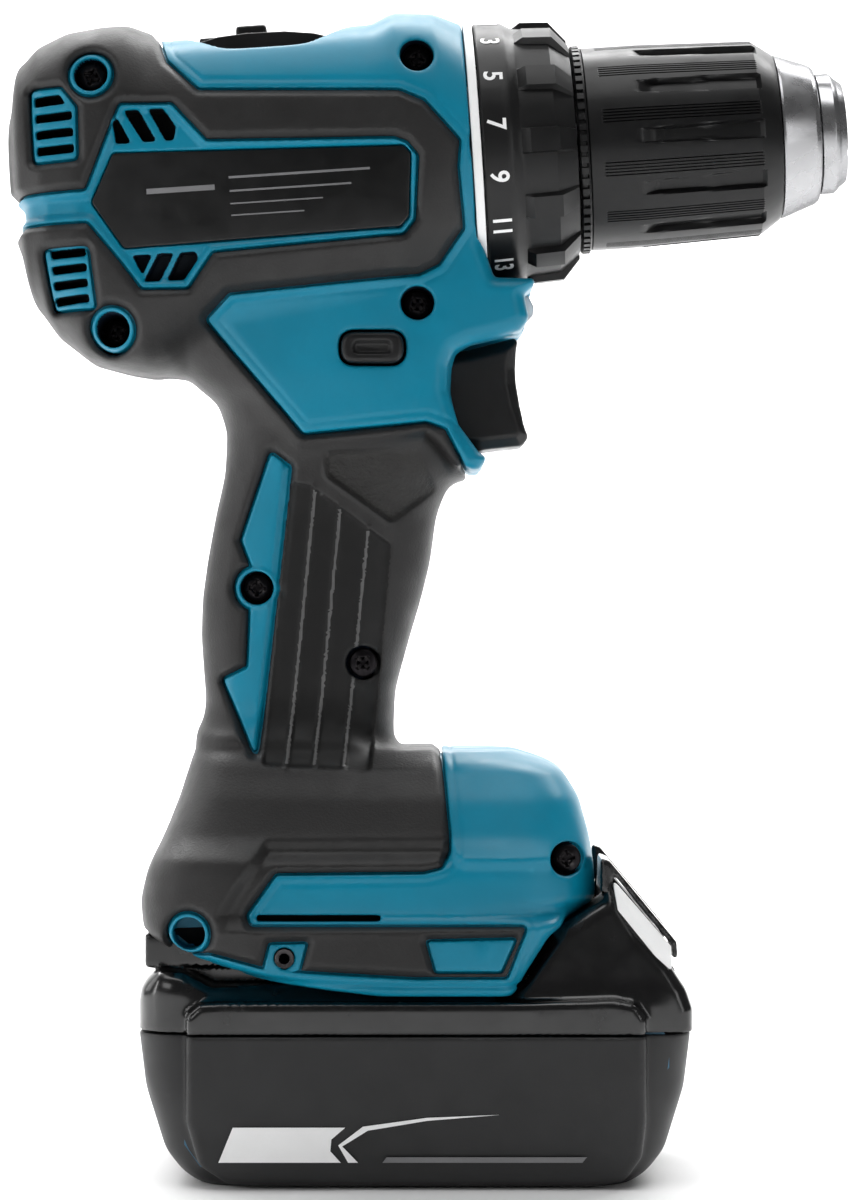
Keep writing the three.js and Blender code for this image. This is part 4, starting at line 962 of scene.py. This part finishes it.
def on_collar(name, text, degrees):
    """A number that stands on the collar with its top towards the chuck."""
    curve = bpy.data.curves.new(name, "FONT")
    curve.body, curve.size, curve.align_x = text, NUMBER_SIZE * MM, "CENTER"
    curve.extrude = 0.00004
    curve.resolution_u = 4
    curve.offset = 0.00009
    holder = bpy.data.objects.new(name + "_text", curve)
    bpy.context.scene.collection.objects.link(holder)
    bpy.context.view_layer.update()
    me = evaluated(holder)
    bpy.data.objects.remove(holder)
    co = np.empty(len(me.vertices) * 3, np.float32)
    me.vertices.foreach_get("co", co)
    co = co.reshape(-1, 3) / MM
    x = NUMBER_X + co[:, 1] * 1.12
    a = math.radians(degrees) + co[:, 0] * 1.05 / 28.0
    r = np.interp(x, COLLAR_X, COLLAR_R) + 0.05 + co[:, 2]
    v = from_barrel(turned(x, r, a, 1))
    me.vertices.foreach_set("co", (v * MM).astype(np.float32).ravel())
    me.name = name
    ob = add_object(name, me, WHITE)
    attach(ob, "torque_collar")


for i in range(11):
    on_collar(f"dial_number_{i + 1}", str(2 * i + 1), FIRST_NUMBER + NUMBER_PITCH * i)


# Chuck nose with the bores that its jaws run in.
def cut_with(ob, cutters):
    """Cuts other pieces out of one, and deletes them."""
    for i, c in enumerate(cutters):
        m = ob.modifiers.new(f"cut{i}", "BOOLEAN")
        m.operation, m.object, m.solver = "DIFFERENCE", c, "EXACT"
    me = evaluated(ob)
    ob.modifiers.clear()
    ob.data = me
    for c in cutters:
        bpy.data.objects.remove(c)
    smooth(me)
    mark_creases(me)


def rod(name, start, end, radius, sides=48):
    """A rod between two points of the barrel's frame, with small chamfers at its ends."""
    n = (end - start).normalized()
    length = (end - start).length
    c = min(0.5, radius * 0.25)
    profile = [(0, 0), (0, radius - c), (c, radius), (length - c, radius), (length, radius - c), (length, 0)]
    turn = Vector((1, 0, 0)).rotation_difference(n).to_matrix()
    pts = []
    for x, r in profile:
        for a in np.arange(sides) * 2 * math.pi / sides:
            pts.append(start + turn @ Vector((x, max(r, 0.001) * math.cos(a), max(r, 0.001) * math.sin(a))))
    faces = np.concatenate([band(i, i + 1, sides) for i in range(len(profile) - 1)])
    me = mesh_of(name, from_barrel(np.array([tuple(p) for p in pts])), faces)
    face_out(me, weld=True)
    mark_creases(me)
    return add_object(name, me)


NOSE = [(62, 6.9), (62, 12.4), (82.9, 12.4), (83.1, 12.7), (85.9, 12.7), (86.6, 12.1), (87.0, 11.6), (88.5, 10.5),
        (88.5, 7.8), (87.7, 7.0)]
nose = lathe("chuck_nose", round_profile(NOSE, 0.3), 144, CHROME)
JAW = math.radians(17)
cutters = []
for k in range(3):
    f = k * 2 * math.pi / 3
    d = Vector((math.cos(JAW), math.sin(JAW) * math.sin(f), -math.sin(JAW) * math.cos(f)))
    tip = Vector((86, -6.5 * math.sin(f), 6.5 * math.cos(f)))
    out = Vector((0, -math.sin(f), math.cos(f)))
    cutters.append(rod(f"bore_{k}", tip - d * 40 + out * 1.2, tip + d * 20 + out * 1.2, 3.5))
cut_with(nose, cutters)
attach(nose, "spindle")
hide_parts("chuck_body")

# ---------------------------------------------------------------- screws


def screw_mesh():
    """A pan head with a cross recess, along -Y, its face at y = 0."""
    g = Grid((-3.3, -0.9, -3.3), (3.3, 2.6, 3.3), 0.16)
    r = np.sqrt(g.x ** 2 + g.z ** 2)
    dome = np.sqrt(g.x ** 2 + (g.y - 6.6) ** 2 + g.z ** 2) - 7.2
    head = smax(smax(r - 3.0, dome, 0.4), g.y - 2.0, 0.3)
    across, up = np.abs(g.x), np.abs(g.z)
    arm = np.minimum(np.maximum(across - 0.36, up - 1.7), np.maximum(up - 0.36, across - 1.7))
    bowl = np.sqrt(g.x ** 2 + g.z ** 2) - (1.35 - 0.55 * np.clip(g.y + 0.6, 0, 2))
    recess = np.maximum(np.minimum(arm, bowl * 1.4), g.y - 1.5 + 0.35 * r)
    field = smax(head, -recess, 0.15)
    shank = np.maximum(r - 1.45, np.abs(g.y - 2.2) - 0.5)
    return np.minimum(field, shank), g


screw_field, screw_grid = screw_mesh()
screw_source = field_piece("screw_source", screw_field, screw_grid, SCREW, 0.25)
for i, (sx, sz, half, _) in enumerate(SCREWS):
    me = screw_source.data.copy()
    me.transform(Matrix.Translation((sx * MM, (-half + 1.7) * MM, sz * MM)) @ Matrix.Rotation(0.4 + i * 0.7, 4, "Y"))
    ob = add_object(f"screw_head_{i + 1}", me)
    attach(ob, "tool")
bpy.data.objects.remove(screw_source)

# ---------------------------------------------------------------- plate, trigger, lever, selector


def slab(name, outline, y0, y1, material, bevel):
    """A flat plate with rounded edges, from a side-view outline."""
    bm = bmesh.new()
    low = [bm.verts.new((x * MM, y0 * MM, z * MM)) for x, z in outline]
    face = bm.faces.new(low)
    out = bmesh.ops.extrude_face_region(bm, geom=[face])
    for v in out["geom"]:
        if isinstance(v, bmesh.types.BMVert):
            v.co.y = y1 * MM
    bmesh.ops.recalc_face_normals(bm, faces=bm.faces)
    if bevel:
        edges = [e for e in bm.edges if len(e.link_faces) == 2 and e.calc_face_angle() > 1.0]
        bmesh.ops.bevel(bm, geom=edges, offset=bevel * MM, segments=3, profile=0.5, affect="EDGES",
                        clamp_overlap=True)
    me = bpy.data.meshes.new(name)
    bm.to_mesh(me)
    bm.free()
    smooth(me)
    mark_creases(me, 30)
    return add_object(name, me, material)


# Plain lines on the plate: x' of both ends, z', width.
PLATE_RULES = ((-58, -44, -6.0, 1.1), (-41, -12, -4.2, 0.5), (-41, -16, -7.0, 0.4), (-41, -22, -9.6, 0.3),
               (-41, -26, -12.0, 0.3))
for side, name in SIDES:
    ob = slab(f"name_plate_{name}", fillet(PLATE, 1.3, 6), side * 28.8, side * 29.6, PLATE_BLACK, 0.25)
    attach(ob, "tool")
    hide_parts(f"rating_plate_{name}")
    for k, (x0, x1, z, w) in enumerate(PLATE_RULES):
        line = world([(x0, z - w / 2), (x1, z - w / 2), (x1, z + w / 2), (x0, z + w / 2)])
        part = slab(f"plate_rule_{name}_{k}", line, side * 29.55, side * 29.64, DIM, 0)
        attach(part, "tool")


def make_trigger():
    """The blade, with a hollow front face for the finger."""
    g = Grid((-1.2, -12.2, 149), (25, 12.2, 178), 0.34)
    outline = [(0.8, 152.8), (10.8, 151.4), (19.8, 152.4), (21.9, 154.4), (21.6, 156.4), (19.9, 160.8), (18.9, 165.6),
               (18.8, 168.6), (19.7, 174.2), (18.6, 175.2), (8.6, 172.6), (0.8, 171.4)]
    side = polygon(outline, g.x, g.z, 1.4)
    f = meet(side, np.abs(g.y) - 11, 2.2)
    f = smax(f, -(segment((25.5, 158), (24.2, 172), g.x, g.z) - 5.6 + 0.06 * np.abs(g.y)), 2.0)
    f = smax(f, (side + np.abs(g.y) - 11 + 2.2) * BEVEL, 0.4)
    ob = field_piece("trigger_blade", f, g, BLACK, 0.3)
    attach(ob, "trigger")
    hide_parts("trigger")


make_trigger()


def make_lever():
    """The two dished pads of the direction lever, and the bar that joins them."""
    g = Grid((-19.5, -25.8, 167), (-3, 0.8, 177.5), 0.3)
    pad = polygon([(-17.8, 168.9), (-4.8, 168.9), (-4.8, 175.4), (-17.8, 175.4)], g.x, g.z, 3.1)
    dish = polygon([(-15.6, 170.5), (-7.0, 170.5), (-7.0, 173.8), (-15.6, 173.8)], g.x, g.z, 1.6)
    f = meet(pad, np.maximum(19.0 - np.abs(g.y), np.abs(g.y) - 24.4), 1.1)
    f = f + 1.0 * ramp(-dish, 0, 1.0) * ramp(np.abs(g.y), 22, 23.4)
    from_pivot = np.sqrt((g.x - LEVER_PIVOT[0]) ** 2 + (g.z - LEVER_PIVOT[1]) ** 2)
    bar = np.maximum(from_pivot - 2.1, np.abs(g.y) - 19.5)
    f = smin(f, bar, 0.8)
    f = np.maximum(f, g.y)
    for side, name in SIDES:
        ob = field_piece(f"lever_pad_{name}", f, g, BLACK, 0.25, side > 0)
        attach(ob, "lever")
        if side < 0:
            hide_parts("direction_lever")


make_lever()


def make_selector():
    """The slider in the scoop on top: a ribbed plate with an upright thumb piece. Made in the barrel's frame."""
    g = Grid((-47.5, -11.2, 25.4), (-22.5, 0.8, 31.2), 0.26)
    plate_field = block(g, -46, -24, -10, 10, 26.3, 27.5, 0.4)
    ribs = 0.28 * np.abs(np.sin((g.x + 24) * math.pi / 1.1)) * ramp(g.x, -31.8, -31.2)
    plate_field = plate_field + ribs - 0.14
    knob = block(g, -38.5, -32.0, -7.5, 7.5, 26.5, 30.3, 0.7)
    knob = knob + 0.25 * np.abs(np.sin(g.y * math.pi / 1.5)) * ramp(g.z, 29.2, 30.0)
    f = smin(plate_field, knob, 0.5)
    f = np.maximum(f, g.y)
    for side, name in SIDES:
        ob = field_piece(f"selector_{name}", f, g, BLACK, 0.3, side > 0)
        normals = [tuple(c.vector) for c in ob.data.corner_normals]
        ob.data.transform(Matrix.Translation((0, 0, AXIS_Z * MM)) @ Matrix.Rotation(-TILT, 4, "Y"))
        spin = np.array(Matrix.Rotation(-TILT, 3, "Y"))
        ob.data.normals_split_custom_set((np.array(normals) @ spin.T).tolist())
        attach(ob, "selector")
        if side < 0:
            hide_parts("speed_selector")


make_selector()
RAIL = [(-50, 22.4), (-49.6, 24.2), (-46.5, 25.8), (-42, 26.9), (-36, 27.3), (-28, 27.2), (-22, 26.4), (-15.2, 24.4),
        (-14.2, 22.4)]
for side, name in SIDES:
    ob = slab(f"scoop_rail_{name}", fillet(world(RAIL), 1.2), side * 11.7, side * 15.2, BLACK, 0.3)
    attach(ob, "tool")

LENS_OUTLINE = [(16.2, 178.0), (20.4, 178.1), (22.4, 180.2), (22.6, 182.0), (21.6, 184.0), (20.6, 185.1), (16.2, 185.1)]
lens = slab("lamp_lens_body", LENS_OUTLINE, -4.9, 4.9, LENS, 0.35)
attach(lens, "tool")
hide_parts("lamp_lens")

# ---------------------------------------------------------------- battery


def make_battery():
    """The tub, and the lid with its raised front block, neck and rails."""
    g = Grid((-61, -39.2, -1), (56.5, 0.8, 68.5), 0.5)
    x, y, z = g.x, g.y, g.z
    away = np.abs(y)
    ends, sides = table([(0, 12.5, 3.2), (2, 9.2, 1.6), (7, 5.4, 0.7), (20, 1.4, 0.1), (31.5, 0, 0)], z, 1.0)
    left, right = -59.3 + ends, 54.3 - ends

    def plan(half, x0, x1, radius):
        a, b = np.abs(x - (x0 + x1) / 2) - (x1 - x0) / 2 + radius, away - half + radius
        return np.minimum(np.maximum(a, b), 0) + np.hypot(np.maximum(a, 0), np.maximum(b, 0)) - radius

    outer = plan(33.6 - sides, left, right, 9)
    face = polygon([(-49, 70), (-49, 14), (-46.4, 5), (-40.6, 1.0), (-34, 0.3), (34, 0.3), (40.2, 1.6), (43.7, 6.6),
                    (44.6, 14), (44.6, 70)], x, z, 3.0)
    front = meet(face, away - 37.6 + sides, 1.6)
    case = smin(outer, front, 1.2)
    case = smax(case, -0.05 - z, 1.6)
    case = smax(case, z - 31.35, 0.35)
    case = np.maximum(case, y)

    slab_outer = plan(33.4, -59.3, 54.3, 9)
    lobe_top = np.interp(x, [-60, -59, -55, -50, -44, 26, 55], [40, 42.5, 44.6, 44.0, 41, 41, 41])
    low = smax(slab_outer, z - lobe_top, 5.0)
    ledge = polygon([(-48.9, 20), (-48.9, 35.5), (-46.0, 37.9), (-42, 38.2), (20, 38.3), (38, 38.8), (42.4, 38.0),
                     (44.5, 35.0), (44.5, 20)], x, z, 2.0)
    low = smin(low, meet(ledge, away - 37.6, 1.4), 1.6)
    front_side = polygon([(14, 36), (54.3, 30), (54.3, 36.5), (52.8, 40.6), (49.6, 45.6), (43.5, 52.4), (38.2, 60.8),
                          (36.6, 66), (36.3, 58.6), (27.0, 53.0), (20.0, 43.0)], x, z, 1.2)
    block_half = 33.2 - 0.10 * np.maximum(z - 40, 0)  # its side slopes in towards its top
    front_block = meet(front_side, away - block_half, 3.0)
    low = smin(low, front_block, 2.0)
    lip = polygon([(35.6, 60), (35.6, 67.2), (37.4, 66.6), (51.2, 49.9), (51.4, 46.6), (50.3, 46.6), (50.2, 49.2),
                   (38.4, 63.6), (37.6, 60)], x, z, 0.5)
    low = smin(low, meet(lip, away - 30.0, 0.7), 0.4)
    neck = block(g, -55.8, 40, -21.5, 21.5, 36, 44.7, 0.5)
    deck = block(g, -58.1, 40, -26, 26, 44.2, 51.5, 0.9)
    cover = smin(np.minimum(low, neck), deck, 0.5)
    cover = np.maximum(cover, 31.75 - z)
    groove = np.maximum(np.maximum(np.abs(away - 14) - 1.4, x + 20), 44.6 - z)  # for the tool's blades
    cover = smax(cover, -groove, 0.3)
    well = np.maximum(np.maximum(away - 13.4, 30.2 - x), 40 - z)
    cover = smax(cover, -well, 0.4)
    hook = np.maximum(np.maximum(np.maximum(away - 7.4, 8 - x), 43.6 - z), x - 40)
    cover = smax(cover, -hook, 0.3)
    cover = np.maximum(cover, y)

    for side, name in SIDES:
        ob = field_piece(f"battery_tub_{name}", case, g, CASE, 0.18, side > 0)
        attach(ob, "battery")
        if side < 0:
            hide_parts("battery_case")
        ob = field_piece(f"battery_lid_{name}", cover, g, GLOSS, 0.3, side > 0)
        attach(ob, "battery")
        if side < 0:
            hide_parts("battery_cover")


make_battery()

# A plain bar and thin tapering lines, where such a pack carries its markings.
BATTERY_BARS = (
    ([(-42.3, 5.9), (-17.5, 5.9), (-19.6, 8.2), (-19.4, 10.6), (-16.6, 13.0), (-39.4, 13.0)], WHITE),
    ([(-16.0, 5.9), (-14.0, 5.9), (-17.2, 9.2), (-12, 12.4), (0, 14.4), (14.6, 15.6), (0, 15.0), (-13, 13.2),
      (-18.0, 9.4)], WHITE),
    ([(-9, 5.9), (31.5, 5.9), (32.4, 7.0), (-8.2, 7.0)], DIM))
SIDE_PANEL = fillet([(37.9, 63.0), (49.9, 49.2), (50.1, 44.0), (46.6, 47.2), (39.0, 56.6)], 0.6)
for side, name in SIDES:
    for k, (outline, m) in enumerate(BATTERY_BARS):
        ob = slab(f"battery_bar_{name}_{k}", outline, side * 37.55, side * 37.72, m, 0)
        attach(ob, "battery")
    side_panel = slab(f"battery_side_panel_{name}", SIDE_PANEL, side * 29.2, side * 31.9, WHITE, 0.3)
    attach(side_panel, "battery")

# ---------------------------------------------------------------- springs


WIRE_SIDES, STEPS_PER_TURN = 10, 28


def coil(name, start, end, radius, wire, turns, place):
    """A compression spring with flat ends, from start to end along the x axis of the frame place."""
    n = int(turns * STEPS_PER_TURN)
    t = np.linspace(0, 1, n + 1)
    x = start + wire + (end - start - 2 * wire) * np.clip((t - 0.06) / 0.88, 0, 1)
    a = t * turns * 2 * math.pi
    k = np.arange(WIRE_SIDES) * 2 * math.pi / WIRE_SIDES
    r = radius + wire * np.cos(k)[None, :]
    v = turned(x[:, None] + wire * np.sin(k)[None, :], r, a[:, None], 2).reshape(-1, 3)
    v = np.array([tuple(place @ Vector(p)) for p in v])
    faces = np.concatenate([band(i, i + 1, WIRE_SIDES) for i in range(n)])
    caps = [list(range(WIRE_SIDES)), list(range(n * WIRE_SIDES + WIRE_SIDES - 1, n * WIRE_SIDES - 1, -1))]
    me = bpy.data.meshes.new(name)
    me.from_pydata((v * MM).tolist(), [], faces.tolist() + caps)
    face_out(me)
    return add_object(name, me, STEEL)


spring = coil("clutch_spring_coil", 4.7, 22.8, 18.4, 1.15, 3.6, BARREL_FRAME)
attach(spring, "tool")
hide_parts("clutch_spring")
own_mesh(spring)

spring = coil("button_spring_coil", 40.4, 47.0, 3.0, 0.5, 5,
              Matrix.Translation((43, 0, 0)) @ Matrix.Rotation(-math.pi / 2, 4, "Y"))
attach(spring, "battery")
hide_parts("button_spring")
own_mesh(spring)

# ---------------------------------------------------------------- the frame's own nodes

BY_SLOT = {
    "shell_teal": TEAL, "overmould_black": RUBBER, "plastic_black": BLACK, "battery_black": GLOSS, "steel": STEEL,
    "dark_steel": SCREW, "copper": COPPER, "alloy": ALLOY, "white": WHITE, "lens": LENS, "board": BOARD,
    "cell_wrap": WRAP,
}
slot_of = {}
for m in frame["record"].get("materials", []):
    for n in m.get("nodes", []) or []:
        slot_of[n] = m["slot"]
for part in frame["record"].get("subparts", []):
    if part.get("material"):
        slot_of.setdefault(part["node"], part["material"])
# The hook inserts get the dark oxide finish, which also paints the hook hole's shade onto them.
for name in ("hook_insert_right", "hook_insert_left"):
    slot_of[name] = "dark_steel"
for name, ob in NODES.items():
    current = ob.data.materials[0].name.split(".")[0] if ob.data.materials else ""
    wanted = BY_SLOT.get(slot_of.get(name, current), BLACK)
    ob.data.materials.clear()
    ob.data.materials.append(wanted)
    mark_creases(ob.data, 34)

# ---------------------------------------------------------------- room, light and camera

# The floor runs back to a wall through a curve. Lengths in this part are in metres.
CURVE_FROM, CURVE, HALF_WIDTH = 2.2, 0.7, 3.2
sweep = [(-2.6, 0.0), (CURVE_FROM, 0.0)]
sweep += [(CURVE_FROM + CURVE * math.sin(t), CURVE - CURVE * math.cos(t)) for t in np.linspace(0.1, math.pi / 2, 14)]
sweep += [(CURVE_FROM + CURVE, 3.6)]
pts = np.array([(x, y, z) for y, z in sweep for x in (-HALF_WIDTH, HALF_WIDTH)], float) / MM
faces = np.array([(2 * i, 2 * i + 1, 2 * i + 3, 2 * i + 2) for i in range(len(sweep) - 1)])
paper = finish("studio_floor", srgb(250, 250, 250), 0.75, vary=0.004, bump=0.02)
floor = add_object("floor", mesh_of("floor", pts, faces), paper)

bg = bpy.data.worlds.new("studio")
bpy.context.scene.world = bg
bg.use_nodes = True
bg.node_tree.nodes["Background"].inputs["Color"].default_value = (1, 1, 1, 1)
bg.node_tree.nodes["Background"].inputs["Strength"].default_value = 0.13


def area(name, at, towards, size, power, size_y=None):
    """An area light in watts, square unless size_y is given."""
    light = bpy.data.lights.new(name, "AREA")
    light.energy, light.size = power, size
    if size_y:
        light.shape, light.size_y = "RECTANGLE", size_y
    ob = bpy.data.objects.new(name, light)
    bpy.context.scene.collection.objects.link(ob)
    ob.location = at
    ob.rotation_euler = (Vector(towards) - Vector(at)).to_track_quat("-Z", "Y").to_euler()


area("top_softbox", (-0.05, -0.16, 0.95), (0, 0, 0.12), 0.9, 3.8, 0.5)
area("front_softbox", (-0.7, -0.8, 0.5), (0, 0, 0.12), 0.4, 1.4)
area("right_softbox", (0.76, -0.86, 0.26), (0.05, 0, 0.16), 0.28, 0.9, 0.5)
area("left_strip", (-0.85, -0.16, 0.2), (0, -0.02, 0.14), 0.12, 1.5, 0.6)
area("wall_wash", (0.0, 1.9, 2.7), (0, 2.9, 0.7), 4.6, 130.0, 0.5)
area("floor_wash", (0.0, 1.25, 2.2), (0, 1.35, 0.0), 4.2, 85.0, 1.0)
area("left_rim", (-0.75, 0.3, 0.4), (0, 0, 0.15), 0.35, 1.2, 0.6)

camera = bpy.data.objects.new("camera", bpy.data.cameras.new("camera"))
bpy.context.scene.collection.objects.link(camera)
camera.location = (0, -0.8, 0.12)
camera.rotation_euler = (math.pi / 2, 0, 0)
camera.data.sensor_width, camera.data.lens = 36, 112.8
camera.data.clip_start, camera.data.clip_end = 0.01, 20
bpy.context.scene.camera = camera
bpy.context.scene.view_settings.view_transform = "Standard"
